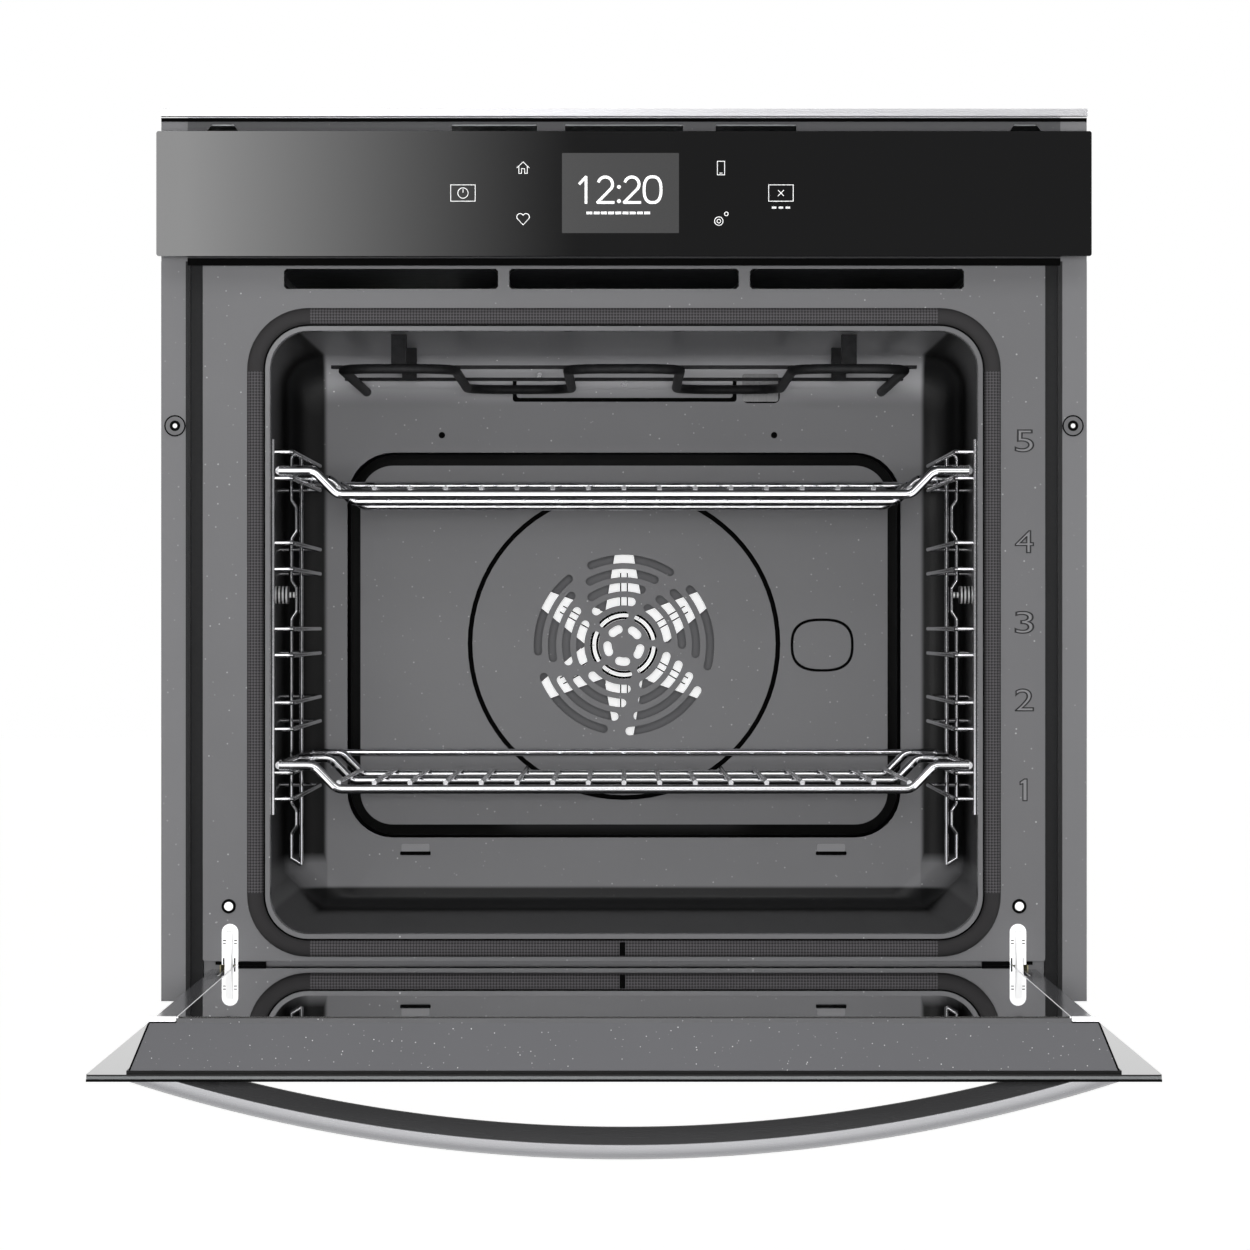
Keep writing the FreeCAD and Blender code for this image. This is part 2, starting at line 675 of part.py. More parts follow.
# ---- cavity --------------------------------------------------------------------------------------
node(front_plate(
    "cavity_floor", cavity_depth, cavity_depth - frame_back,
    outline((-cavity_half, cavity_low + cavity_bevel), (cavity_bevel - cavity_half, cavity_low),
            (cavity_half - cavity_bevel, cavity_low), (cavity_half, cavity_low + cavity_bevel),
            (cavity_half, cavity_low - cavity_sheet), (-cavity_half, cavity_low - cavity_sheet))))
node(block("cavity_ceiling", (-wall_out, wall_out), (frame_back, cavity_depth),
           (cavity_high, cavity_high + cavity_sheet)))
node(pair("cavity_side_walls", block("cavity_side_wall", (cavity_half, wall_out), (frame_back, cavity_depth),
                                     (cavity_low - cavity_sheet, cavity_high))))
lamp_x = size("lamp_x", 98, "oven lamp from the centre")
lamp_half = size("lamp_half", 13, "half width of the lamp glass")
lamp_drop = size("lamp_drop", 23, "oven lamp under the ceiling")
lamp_z = cavity_high - lamp_drop
probe_x = size("probe_x", -60, "temperature probe from the centre")
probe_radius = size("probe_radius", 2, "temperature probe")
probe_clear = size("probe_clear", 4, "temperature probe above the broil element")
probe_z = broil_height + element_radius + probe_clear + probe_radius
rivet_z = chamber_high + 12.5
node(front_plate(
    "cavity_back_wall", wall_back, cavity_sheet,
    rounded(-wall_out, wall_out, cavity_low - cavity_sheet, cavity_high + cavity_sheet, 1),
    rounded(-chamber_half, chamber_half, chamber_low, chamber_high, chamber_corner),
    rounded(lamp_x - lamp_half, lamp_x + lamp_half, lamp_z - 10, lamp_z + 10, 2),
    ring(probe_x, probe_z, probe_radius), ring(-leg_x, broil_height, element_radius),
    ring(leg_x, broil_height, element_radius), ring(-131, rivet_z, 2.2), ring(108, rivet_z, 2.2)))

# ---- fan chamber, cover, wheel, shaft and motor --------------------------------------------------
outer_tub = front_plate("chamber_outer", chamber_back + cavity_sheet, chamber_deep + cavity_sheet,
                        rounded(-chamber_half - cavity_sheet, chamber_half + cavity_sheet,
                                chamber_low - cavity_sheet, chamber_high + cavity_sheet,
                                chamber_corner + cavity_sheet))
inner_tub = front_plate("chamber_inner", chamber_back, chamber_deep + 1,
                        rounded(-chamber_half, chamber_half, chamber_low, chamber_high, chamber_corner))
shaft_hole = rod("chamber_shaft_hole", "Y", shaft_radius + 2, (0, chamber_back - 1, fan_height), 4)
ring_leg_x = 16
ring_leg_drop = math.sqrt(float(ring_radius) ** 2 - ring_leg_x ** 2)
ring_holes = [
    rod(f"chamber_ring_hole_{number}", "Y", sleeve_radius, (side * ring_leg_x, chamber_back - 1,
        fan_height - ring_leg_drop), 4)
    for number, side in enumerate((-1, 1))
]
node(cut("fan_chamber", outer_tub, inner_tub, shaft_hole, *ring_holes))

cover_face = cavity_depth - cavity_sheet


def louvre(radius, start, sweep, wide):
    """A curved slot with round ends, cut right through the cover."""
    def at(distance, degrees):
        turn = math.radians(degrees)
        return Vector(distance * math.cos(turn), 0, distance * math.sin(turn))

    inner = radius - wide / 2
    outer = radius + wide / 2
    nose = math.degrees(wide / 2 / radius)
    first, last = start + nose, start + sweep - nose
    middle = (first + last) / 2
    edges = [
        Part.Arc(at(outer, first), at(outer, middle), at(outer, last)),
        Part.Arc(at(outer, last), at(radius, last + nose), at(inner, last)),
        Part.Arc(at(inner, last), at(inner, middle), at(inner, first)),
        Part.Arc(at(inner, first), at(radius, first - nose), at(outer, first)),
    ]
    face = Part.Face(Part.Wire([edge.toShape() for edge in edges]))
    slot = face.extrude(Vector(0, 4 * float(cavity_sheet), 0))
    slot.translate(Vector(0, float(cover_face) - 1, float(fan_height)))
    return slot


LOUVRE_RINGS = 5
LOUVRE_TWIST = 6.6
LOUVRE_SWEEP = 60
slots = []
for number in range(LOUVRE_RINGS):
    slot_radius = float(louvre_outer) - number * float(louvre_pitch)
    for turn in range(5):
        begin = 49 + LOUVRE_TWIST * number + 72 * turn + (72 - LOUVRE_SWEEP) / 2
        slots.append(louvre(slot_radius, begin, LOUVRE_SWEEP, float(louvre_wide)))
for turn in range(5):
    slots.append(louvre(11.9, 49 + 72 * turn - 26, 52, float(louvre_wide)))
louvres = shaped("fan_cover_louvres", Part.makeCompound(slots))
cover_plate = front_plate("fan_cover_plate", cavity_depth, cavity_sheet,
                          rounded(cover_gap - chamber_half, chamber_half - cover_gap,
                                  chamber_low + cover_gap, chamber_high - cover_gap,
                                  chamber_corner - cover_gap))
cover_posts = [
    rod(f"cover_post_{number}", "Y", 4,
        (side * (chamber_half - 40), cavity_depth, fan_height + rise * (chamber_tall / 2 - 40)),
        chamber_back - cavity_depth)
    for number, (side, rise) in enumerate(((-1, -1), (1, -1), (-1, 1), (1, 1)))
]
node(fuse("fan_cover", cut("fan_cover_cut", cover_plate, louvres), *cover_posts))

wheel_front = wall_back + 6
wheel_disc = 1.5
vane_deep = 16


def star_wheel():
    """Six tapered blades round a hub, each with a folded vane along one edge."""
    tip, root = float(wheel_radius), 24.0
    y, z = float(wheel_front), float(fan_height)
    blades = []
    for number in range(6):
        corners = [Vector(0, y, 0), Vector(13.5, y, root), Vector(6.2, y, tip), Vector(-6.2, y, tip),
                   Vector(-13.5, y, root)]
        blade = Part.Face(Part.makePolygon(corners + corners[:1])).extrude(Vector(0, wheel_disc, 0))
        fold = [Vector(12.3, y, root + 4), Vector(5.0, y, tip), Vector(6.2, y, tip),
                Vector(13.5, y, root + 4)]
        vane = Part.Face(Part.makePolygon(fold + fold[:1])).extrude(Vector(0, vane_deep, 0))
        arm = blade.fuse(vane)
        arm.rotate(Vector(0, 0, 0), Vector(0, 1, 0), 60 * number)
        arm.translate(Vector(0, 0, z))
        blades.append(arm)
    hub = Part.makeCylinder(21, wheel_disc, Vector(0, y, z), Vector(0, 1, 0))
    boss = Part.makeCylinder(9, 12, Vector(0, y, z), Vector(0, 1, 0))
    wheel = weld([hub, boss] + blades)
    bore = Part.makeCylinder(float(shaft_radius), 40, Vector(0, y - 5, z), Vector(0, 1, 0))
    return wheel.cut(bore)


node(shaped("fan_wheel", star_wheel()))
shaft = rod("fan_shaft_rod", "Y", shaft_radius, (0, wheel_front - 4, fan_height),
            motor_front + motor_length - 4 - wheel_front)
nut = rod("fan_nut", "Y", 7, (0, wheel_front - 3, fan_height), 3)
node(fuse("fan_shaft", shaft, nut))

can = rod("motor_can", "Y", motor_radius, (0, motor_front, fan_height), motor_length)
plate = block("motor_plate", (-62, 62), (motor_front - 2, motor_front), (fan_height - 50, fan_height + 50))
legs = [
    block(f"motor_leg_{number}", (side * 56 - 6, side * 56 + 6),
          (chamber_back + cavity_sheet, motor_front - 2),
          (fan_height - 50, fan_height + 50))
    for number, side in enumerate((-1, 1))
]
bore = rod("motor_bore", "Y", shaft_radius + shaft_play, (0, motor_front - 3, fan_height), motor_length + 2)
node(cut("fan_motor", fuse("motor_body", can, plate, *legs), bore))

# ---- heating elements ----------------------------------------------------------------------------
ring_y = wall_back + 22


def ring_element():
    place = Vector(0, float(ring_y), float(fan_height))
    loop = Part.makeTorus(float(ring_radius), float(element_radius), place, Vector(0, 1, 0))
    parts = [loop]
    for side in (-1, 1):
        start = (side * ring_leg_x, ring_y - sleeve_radius, fan_height - ring_leg_drop)
        end = (side * ring_leg_x, chamber_back + 18, fan_height - ring_leg_drop)
        parts.append(straight_wire(start, end, sleeve_radius))
    return weld(parts)


node(shaped("ring_element", ring_element()))

columns = [leg_x * share for share in (-1, -0.6, -0.2, 0.2, 0.6, 1)]
near, far = frame_face + 50, cavity_depth - 40
element_bend = 26


def serpentine(z, first, last):
    """The up-and-down path of a grill or floor element, seen from above."""
    route = [(columns[0], first, z)]
    for number, place in enumerate(columns):
        ends = (near, far) if number % 2 == 0 else (far, near)
        start, stop = ends[1], ends[0]
        if number > 0:
            route.append((place, start, z))
        if number < len(columns) - 1:
            route.append((place, stop, z))
    route.append((columns[-1], last, z))
    return route


leg_end = float(wall_back) + 30
node(shaped("broil_element", bent_wire(serpentine(broil_height, leg_end, leg_end), element_bend,
                                       element_radius)))
bake_height = cavity_low - cavity_sheet - element_radius
bake_end = float(cavity_depth) + 20
node(shaped("bake_element", bent_wire(serpentine(bake_height, bake_end, bake_end), element_bend,
                                      element_radius)))
bracket_places = (cavity_depth - 280, cavity_depth - 110)
bracket_wide = 12
bracket_low = broil_height + element_radius
brackets = [
    block(f"element_bracket_{number}", (-leg_x - 10, leg_x + 10), (place, place + bracket_wide),
          (bracket_low, bracket_low + 2))
    for number, place in enumerate(bracket_places)
]
hangers = [
    block(f"element_hanger_{number}", (x - 5, x + 5), (place, place + bracket_wide),
          (bracket_low + 2, cavity_high))
    for number, (x, place) in enumerate(
        (side * (leg_x - 35), place) for place in bracket_places for side in (-1, 1))
]
node(group("element_brackets", fuse("front_bracket", brackets[0], hangers[0], hangers[1]),
           fuse("rear_bracket", brackets[1], hangers[2], hangers[3])))

# ---- shelf supports and racks --------------------------------------------------------------------
lowest_runner = float(cavity_low + bottom_level)
highest_runner = float(cavity_high - top_level)
LEVELS = [lowest_runner + share * (highest_runner - lowest_runner)
          for share in (1, 0.7165, 0.4483, 0.2182, 0)]
hairpin_wide = size("hairpin_wide", 7.3, "distance between the hairpin's legs")
hairpin_waist = size("hairpin_waist", 3.9, "distance between the hairpin's legs at its waists")
upright_in = rack_half + rail_wire + rack_play + ladder_wire
upright_out = upright_in + hairpin_wide
upright_waist = upright_in + hairpin_waist
weld_depth = 0.4


def ladder():
    """Runner wires in pairs, welded to a front upright and a hairpin near the back."""
    wires = []
    for level in LEVELS:
        for rise in (0, float(runner_pitch)):
            z = level + rise
            route = [(upright_in + 2, ladder_front, z), (runner_half, ladder_front, z),
                     (runner_half, ladder_back, z), (cavity_half, ladder_back, z)]
            wires.append(bent_wire(route, 3, ladder_wire))
    low, high = LEVELS[-1] - 10, LEVELS[0] + float(runner_pitch) + 8
    front = ladder_front - 2 * ladder_wire + weld_depth
    wires.append(straight_wire((upright_in, front, low), (upright_in, front, high), ladder_wire))
    back = ladder_back - 2 * ladder_wire + weld_depth
    inner_foot = LEVELS[-1] - 56
    outer_foot = inner_foot + 4.5
    hairpin = [(upright_in, back, inner_foot), (upright_in, back, high), (upright_out, back, high)]
    waists = (
        (LEVELS[0] - 7, LEVELS[1] + float(runner_pitch) + 8),
        (LEVELS[1] - 5, LEVELS[2] + float(runner_pitch) + 7),
        (LEVELS[4] - 13, LEVELS[4] - 34),
    )
    for top, bottom in waists:
        hairpin += [(upright_out, back, top), (upright_waist, back, top - 5),
                    (upright_waist, back, bottom + 5), (upright_out, back, bottom)]
    hairpin.append((upright_out, back, outer_foot))
    wires.append(bent_wire(hairpin, 3.2, ladder_wire))
    wires.append(straight_wire((upright_in, back, inner_foot), (upright_out, back, outer_foot),
                               ladder_wire))
    return weld(wires)


right_ladder = node(shaped("ladder_right", ladder()))
node(mirrored("ladder_left", right_ladder))
nut_y = ladder_back - 49
nut_z = LEVELS[1] - 15.2
nut_length = 9.5
stud = rod("ladder_stud", "X", 2, (upright_out - 6, nut_y, nut_z), cavity_half - upright_out + 6)
knurl = rod("ladder_knurl", "X", 6.2, (cavity_half - nut_length, nut_y, nut_z), nut_length)
node(pair("ladder_nuts", fuse("ladder_nut", stud, knurl)))


def rack(level):
    """A welded wire rack: U-shaped rail, three cross bars with a drop, and grid wires."""
    rail_z = level + float(ladder_wire) + float(rack_play) + float(cross_wire)
    grid_z = rail_z - float(rack_drop)
    front, back = float(rack_front), float(rack_front) + float(rack_depth)
    edge = float(rack_half)
    bend_out, bend_in = 22.5, 37.5
    wires = [bent_wire([(-edge, front, rail_z), (-edge, back, rail_z), (edge, back, rail_z),
                        (edge, front, rail_z)], 18, rail_wire)]
    for place in (front, front + 0.54 * (back - front), back - 12):
        bar = [(-edge, place, rail_z), (bend_out - edge, place, rail_z), (bend_in - edge, place, grid_z),
               (edge - bend_in, place, grid_z), (edge - bend_out, place, rail_z), (edge, place, rail_z)]
        wires.append(bent_wire(bar, 9, cross_wire))
    wire_z = grid_z + float(cross_wire) + float(grid_wire) - 0.5
    count = 17
    span = 2 * (edge - bend_in - 1)
    for number in range(count):
        x = span * (number / (count - 1) - 0.5)
        wires.append(straight_wire((x, front, wire_z), (x, back - 11, wire_z), grid_wire))
    return weld(wires)


node(shaped("rack_upper", rack(LEVELS[0])))
node(shaped("rack_lower", rack(LEVELS[-1] + float(runner_pitch))))

# ---- insulation ----------------------------------------------------------------------------------
receiver_half = 6
receiver_deep = 40
receiver_high = hinge_slot_top + 3.4
insulation_back = chamber_back + insulation_thick - 2
wrap = block("insulation_outer", (-wall_out - insulation_thick, wall_out + insulation_thick),
             (insulation_front, insulation_back), (insulation_low, insulation_top))
core = block("insulation_core", (-wall_out, wall_out), (insulation_front - 1, chamber_back + cavity_sheet),
             (bake_height - element_radius - 4, cavity_high + cavity_sheet))
fan_hole = block("insulation_fan_hole", (-64, 64), (chamber_back, insulation_back + 1),
                 (fan_height - 52, fan_height + 52))
ring_hole = block("insulation_ring_hole", (-ring_leg_x - 8, ring_leg_x + 8),
                  (chamber_back, insulation_back + 1),
                  (fan_height - ring_leg_drop - 10, fan_height - 50))
hinge_space = [
    block(f"insulation_hinge_space_{number}",
          (side * arm_half - receiver_half - 1, side * arm_half + receiver_half + 1),
          (insulation_front - 1, frame_back + receiver_deep + 3), (insulation_low - 1, receiver_high + 2))
    for number, side in enumerate((-1, 1))
]
node(cut("insulation", wrap, core, fan_hole, ring_hole, *hinge_space))

# ---- cooling blower, duct and electronics --------------------------------------------------------
duct_half = side_start + vent_side + 8
duct_back = size("duct_back", 330, "rear end of the air duct")
duct_top = vent_high + 4
duct_sheet = 1.0
duct = block("duct_outer", (-duct_half, duct_half), (frame_back, duct_back), (insulation_top, duct_top))
duct_hollow = block("duct_hollow", (duct_sheet - duct_half, duct_half - duct_sheet),
                    (frame_back - 1, duct_back + 1),
                    (insulation_top + duct_sheet, duct_top - duct_sheet))
node(cut("air_duct", duct, duct_hollow))

box_half = impeller_length / 2 + blower_play
axis_y = duct_back + impeller_radius + blower_play + 16
axis_z = insulation_top + duct_sheet + impeller_radius + blower_play
box_back = axis_y + impeller_radius + blower_play + duct_sheet
box_top = axis_z + impeller_radius + blower_play + duct_sheet
housing = block("blower_box", (-box_half - duct_sheet, box_half + duct_sheet), (duct_back, box_back),
                (insulation_top, box_top))
scroll = block("blower_hollow", (-box_half, box_half), (duct_back + duct_sheet, box_back - duct_sheet),
               (insulation_top + duct_sheet, box_top - duct_sheet))
outlet = block("blower_outlet", (-box_half + 4, box_half - 4), (duct_back - 1, duct_back + 2),
               (insulation_top + duct_sheet, duct_top - duct_sheet))
inlet = block("blower_inlet", (-box_half + 10, box_half - 10), (duct_back + 20, box_back - 12),
              (box_top - 2, box_top + 1))
bearing = rod("blower_bearing", "X", spindle_radius + shaft_play, (-box_half - 3, axis_y, axis_z),
              2 * box_half + 6)
node(cut("blower_housing", housing, scroll, outlet, inlet, bearing))


def drum():
    """Cross-flow impeller: end discs and a ring of curved blades."""
    outer, length = float(impeller_radius), float(impeller_length)
    x, y, z = -length / 2, float(axis_y), float(axis_z)
    along = Vector(1, 0, 0)
    parts = [Part.makeCylinder(outer, 1.5, Vector(x + place, y, z), along)
             for place in (0, length / 2 - 0.75, length - 1.5)]
    count = 24
    for number in range(count):
        blade = Part.makeBox(length, 1.0, 9, Vector(x, -0.5, outer - 9.2))
        blade.rotate(Vector(0, 0, outer - 5), along, 24)
        blade.rotate(Vector(0, 0, 0), along, 360 / count * number)
        blade.translate(Vector(0, y, z))
        parts.append(blade)
    bore = Part.makeCylinder(float(spindle_radius), length + 4, Vector(x - 2, y, z), along)
    return weld(parts).cut(bore)


node(shaped("blower_impeller", drum()))
blower_motor_long = 46
node(rod("blower_shaft", "X", spindle_radius, (-box_half - duct_sheet - 4, axis_y, axis_z),
         2 * box_half + 2 * duct_sheet + blower_motor_long))
stack = block("blower_stack", (box_half + duct_sheet, box_half + duct_sheet + blower_motor_long),
              (axis_y - 24, axis_y + 24), (insulation_top, axis_z + 24))
stack_bore = rod("blower_motor_bore", "X", spindle_radius + shaft_play, (box_half, axis_y, axis_z),
                 blower_motor_long + 4)
node(cut("blower_motor", stack, stack_bore))

card_z = duct_top + 8
card = block("power_card", (-220, -60), (60, 200), (card_z, card_z + board_thick))
stands = [
    rod(f"power_stand_{number}", "Z", 3, (x, y, duct_top), card_z - duct_top)
    for number, (x, y) in enumerate(((-212, 68), (-68, 68), (-212, 192), (-68, 192)))
]
lumps = [
    block("power_relay", (-200, -172), (90, 110), (card_z + board_thick, card_z + 18)),
    block("power_relay_2", (-200, -172), (116, 136), (card_z + board_thick, card_z + 18)),
    block("power_transformer", (-150, -106), (90, 130), (card_z + board_thick, card_z + 34)),
    rod("power_capacitor", "Z", 9, (-85, 160, card_z + board_thick), 26),
]
node(fuse("power_board", card, *stands, *lumps))

terminal = block("terminal_shell", (gland_x - 36, gland_x + 36),
                 (body_depth - casing - 40, body_depth - casing),
                 (gland_z - 32, gland_z + 32))
terminal_hollow = block("terminal_hollow", (gland_x - 34, gland_x + 34),
                        (body_depth - casing - 38, body_depth - casing + 1), (gland_z - 30, gland_z + 30))
node(cut("terminal_box", terminal, terminal_hollow))
gland_body = rod("gland_body", "Y", gland_radius, (gland_x, body_depth - casing - 8, gland_z), 20)
gland_head = rod("gland_head", "Y", gland_radius + 4, (gland_x, body_depth, gland_z), 7)
gland_hole = rod("gland_hole", "Y", gland_bore, (gland_x, body_depth - casing - 9, gland_z), 30)
node(cut("cable_gland", fuse("gland_solid", gland_body, gland_head), gland_hole))

# ---- oven lamp and temperature probe -------------------------------------------------------------
lamp_deep = 36
lamp_shell = block("lamp_shell", (lamp_x - lamp_half - 2, lamp_x + lamp_half + 2),
                   (wall_back, wall_back + lamp_deep),
                   (lamp_z - 12, lamp_z + 12))
lamp_hollow = block("lamp_hollow", (lamp_x - lamp_half, lamp_x + lamp_half),
                    (wall_back - 1, wall_back + lamp_deep - 2),
                    (lamp_z - 10, lamp_z + 10))
node(cut("lamp_housing", lamp_shell, lamp_hollow))
node(front_plate("lamp_glass", wall_back, cavity_sheet + 3,
                 rounded(lamp_x - lamp_half, lamp_x + lamp_half, lamp_z - 10, lamp_z + 10, 2)))
node(rod("lamp_bulb", "Y", 5, (lamp_x, wall_back + 8, lamp_z), lamp_deep - 10))
probe_reach = 60
node(rod("temperature_probe", "Y", probe_radius, (probe_x, cavity_depth - probe_reach, probe_z),
         probe_reach + cavity_sheet + 12))

# ---- hinges --------------------------------------------------------------------------------------
arm_left = arm_half - arm_thick / 2
arm_top = hinge_slot_top - 4.6
arm_low = hinge_z + 14.8


def hinge_arm():
    body = doc.addObject("PartDesign::Body", "hinge_arm_plate")
    pivot_y, pivot_z = hinge_y, hinge_z
    add_pad(body, "YZ_Plane", arm_left, arm_thick,
            outline((frame_back + receiver_deep, arm_top), (pivot_y + 9, arm_top),
                    (pivot_y - 6.5, pivot_z + 6), (pivot_y, pivot_z - 7), (pivot_y + 7, pivot_z - 4),
                    (pivot_y + 19, arm_low), (frame_back + receiver_deep, arm_low)))
    boss = rod("hinge_arm_boss", "X", 8, (arm_left, pivot_y, pivot_z), arm_thick)
    hole = rod("hinge_arm_hole", "X", pin_radius + shaft_play, (arm_left - 1, pivot_y, pivot_z),
               arm_thick + 2)
    return cut("hinge_arm", fuse("hinge_arm_body", body, boss), hole)


node(pair("hinge_arms", hinge_arm()))
receiver = block("receiver_block", (arm_half - receiver_half, arm_half + receiver_half),
                 (frame_back, frame_back + receiver_deep + 2), (frame_low, receiver_high))
receiver_slot = block("receiver_slot", (arm_left, arm_left + arm_thick),
                      (frame_back - 1, frame_back + receiver_deep), (frame_low - 1, arm_top + 4))
node(pair("hinge_receivers", cut("hinge_receiver", receiver, receiver_slot)))

door_low = hinge_z - door_front
glass_top = door_low + glass_thick
door_near = hinge_y + door_below
pan_near = hinge_y + pan_below
door_far = -(panel_low - panel_gap - hinge_z) + hinge_y
pan_far = door_far + pan_margin
pan_top = hinge_z + door_back - inner_thick

channel_half = channel_wide / 2
channel_near = hinge_y + 17
channel_top = pan_top - pan_sheet - 0.3
tray = block("channel_tray", (arm_half - channel_half, arm_half + channel_half),
             (channel_near - channel_long, channel_near), (glass_top, channel_top))
tray_hollow = block("channel_hollow",
                    (arm_half - channel_half + channel_sheet, arm_half + channel_half - channel_sheet),
                    (channel_near - channel_long + channel_sheet, channel_near + 1),
                    (glass_top + channel_sheet, channel_top + 1))
pin_hole = rod("channel_pin_hole", "X", pin_radius, (arm_half - channel_half - 1, hinge_y, hinge_z),
               channel_wide + 2)
node(pair("hinge_channels", cut("hinge_channel", tray, tray_hollow, pin_hole)))
node(pair("hinge_pins", rod("hinge_pin", "X", pin_radius, (arm_half - channel_half, hinge_y, hinge_z),
                            channel_wide)))


def spring():
    """Coil spring on its guide rod, with a thrust washer at the hinge end."""
    x, z = float(arm_half), 27.5
    far_end = float(channel_near - channel_long + channel_sheet)
    washer_y = float(hinge_y) - 47
    toward = Vector(0, -1, 0)
    guide = Part.makeCylinder(2, washer_y + 8 - far_end, Vector(x, washer_y + 8, z), toward)
    washer = Part.makeCylinder(6, 1.5, Vector(x, washer_y, z), toward)
    coil_length = washer_y - 1.5 - far_end - 2
    path = Part.makeHelix(4.4, coil_length, 4.6)
    section = Part.Wire(Part.makeCircle(0.9, Vector(4.6, 0, 0), Vector(0, 1, 0)))
    coil = Part.Wire(path).makePipeShell([section], True, True)
    coil.rotate(Vector(0, 0, 0), Vector(1, 0, 0), 90)
    coil.translate(Vector(x, washer_y - 2.4, z))
    return Part.makeCompound([guide.fuse(washer), coil])


node(pair("hinge_springs", shaped("hinge_spring", spring())))

# ---- door: outer glass, pan, middle and inner glass ----------------------------------------------
handle_screw_x = oven_half - handle_screw_inset
handle_y = door_far + handle_inset
handle_bolt = size("handle_bolt", 2.5, "handle screw radius")
door_holes = [ring(side * handle_screw_x, handle_y, handle_bolt) for side in (-1, 1)]
node(flat_plate("door_outer_glass", door_low, glass_thick,
                rounded(-oven_half, oven_half, door_far, door_near, 3), *door_holes))


def tub(inset, low, high):
    """The pan's outer or inner skin: a box whose sides and upper end slope outwards."""
    rise = float(pan_top) - float(glass_top)

    def level(z):
        part = (float(pan_top) - z) / rise
        half = float(pan_half) + float(pan_flare) * part - inset
        near_end = float(pan_near) - inset
        far_end = float(pan_far) + float(pan_top_flare) * (1 - part) + inset
        corners = [Vector(-half, near_end, z), Vector(half, near_end, z), Vector(half, far_end, z),
                   Vector(-half, far_end, z)]
        return Part.makePolygon(corners + corners[:1])

    return Part.makeLoft([level(low), level(high)], True, True)


def door_pan():
    sheet_thick = float(pan_sheet)
    outer = tub(0, float(glass_top), float(pan_top))
    inner = tub(sheet_thick, float(glass_top) - 1, float(pan_top) - sheet_thick)
    pan = outer.cut(inner)
    far_end = float(pan_far) + float(pan_top_flare) + float(window_rim)
    near_end = float(pan_near) - float(window_rim) - 12
    window = Part.makeBox(2 * float(window_half), near_end - far_end, 10,
                          Vector(-float(window_half), far_end, float(pan_top) - 5))
    pan = pan.cut(window)
    for side in (-1, 1):
        middle = side * float(arm_half)
        half = float(arm_slot) / 2
        slot = Part.makeBox(2 * half, 66, 50,
                            Vector(middle - half, float(hinge_y) - 43, float(glass_top) + 1.2))
        pan = pan.cut(slot)
    return pan


node(shaped("door_pan", door_pan()))
node(flat_plate("door_inner_glass", pan_top, inner_thick,
                rounded(-inner_half, inner_half, pan_far + pan_top_flare + 2, pan_near - 4.2, 4)))
rail_near = -32
rail_far = door_far + 43
mid_low = hinge_z - 9.2
mid_high = mid_low + glass_thick
rail = block("glass_rail_bar", (window_half + 1, window_half + 11), (rail_far, rail_near),
             (glass_top, pan_top - pan_sheet))
groove = block("glass_rail_groove", (window_half, window_half + 4), (rail_far - 1, rail_near + 1),
               (mid_low, mid_high))
node(pair("glass_rails", cut("glass_rail", rail, groove)))
node(flat_plate("door_middle_glass", mid_low, glass_thick,
                rounded(-window_half - 4, window_half + 4, rail_far, rail_near, 2)))


# ---- handle --------------------------------------------------------------------------------------
def handle():
    """A bowed oval bar whose ends run into the outer glass."""
    face = float(door_low)
    bow = float(handle_radius)
    lowest = face - float(handle_reach) + float(handle_thick) / 2
    middle = lowest + bow
    reach = float(oven_half) + 2

    def at(x):
        return Vector(x, 0, middle - math.sqrt(bow ** 2 - x ** 2))

    arc = Part.Arc(at(-reach), at(0), at(reach))
    start = arc.StartPoint
    tangent = Vector(1, 0, -reach / math.sqrt(bow ** 2 - reach ** 2))
    ellipse = Part.Ellipse(Vector(), float(handle_wide) / 2, float(handle_thick) / 2).toShape()
    ellipse.rotate(Vector(), Vector(0, 0, 1), 90)
    ellipse.rotate(Vector(), Vector(0, 1, 0), 90)
    ellipse.rotate(Vector(), Vector(0, 1, 0), math.degrees(math.atan2(-tangent.z, tangent.x)))
    ellipse.translate(start)
    bar = Part.Wire(arc.toShape()).makePipeShell([Part.Wire(ellipse)], True, False)
    bar.translate(Vector(0, float(handle_y), 0))
    under = Part.makeBox(2 * reach, 80, 100, Vector(-reach, float(handle_y) - 40, face - 100))
    bar = bar.common(under)
    for side in (-1, 1):
        hole = Part.makeCylinder(float(handle_bolt), 8,
                                 Vector(side * float(handle_screw_x), float(handle_y), face - 6),
                                 Vector(0, 0, 1))
        bar = bar.cut(hole)
    return bar


node(shaped("handle_bar", handle()))
screw_stem = rod("handle_screw_stem", "Z", handle_bolt, (handle_screw_x, handle_y, door_low - 6),
                 glass_thick + 6)
screw_head = rod("handle_screw_head", "Z", 2 * handle_bolt, (handle_screw_x, handle_y, glass_top), 3.5)
node(pair("handle_screws", fuse("handle_screw", screw_stem, screw_head)))

# ---- screws of the frame and casing --------------------------------------------------------------
frame_screw_radius = 2.2
stem = rod("frame_screw_stem", "Y", frame_screw_radius, (frame_screw_x, frame_face, frame_screw_z), 10)
head = rod("frame_screw_head", "Y", 3.4, (frame_screw_x, frame_face - 2, frame_screw_z), 2)
node(pair("frame_screws", fuse("frame_screw", stem, head)))


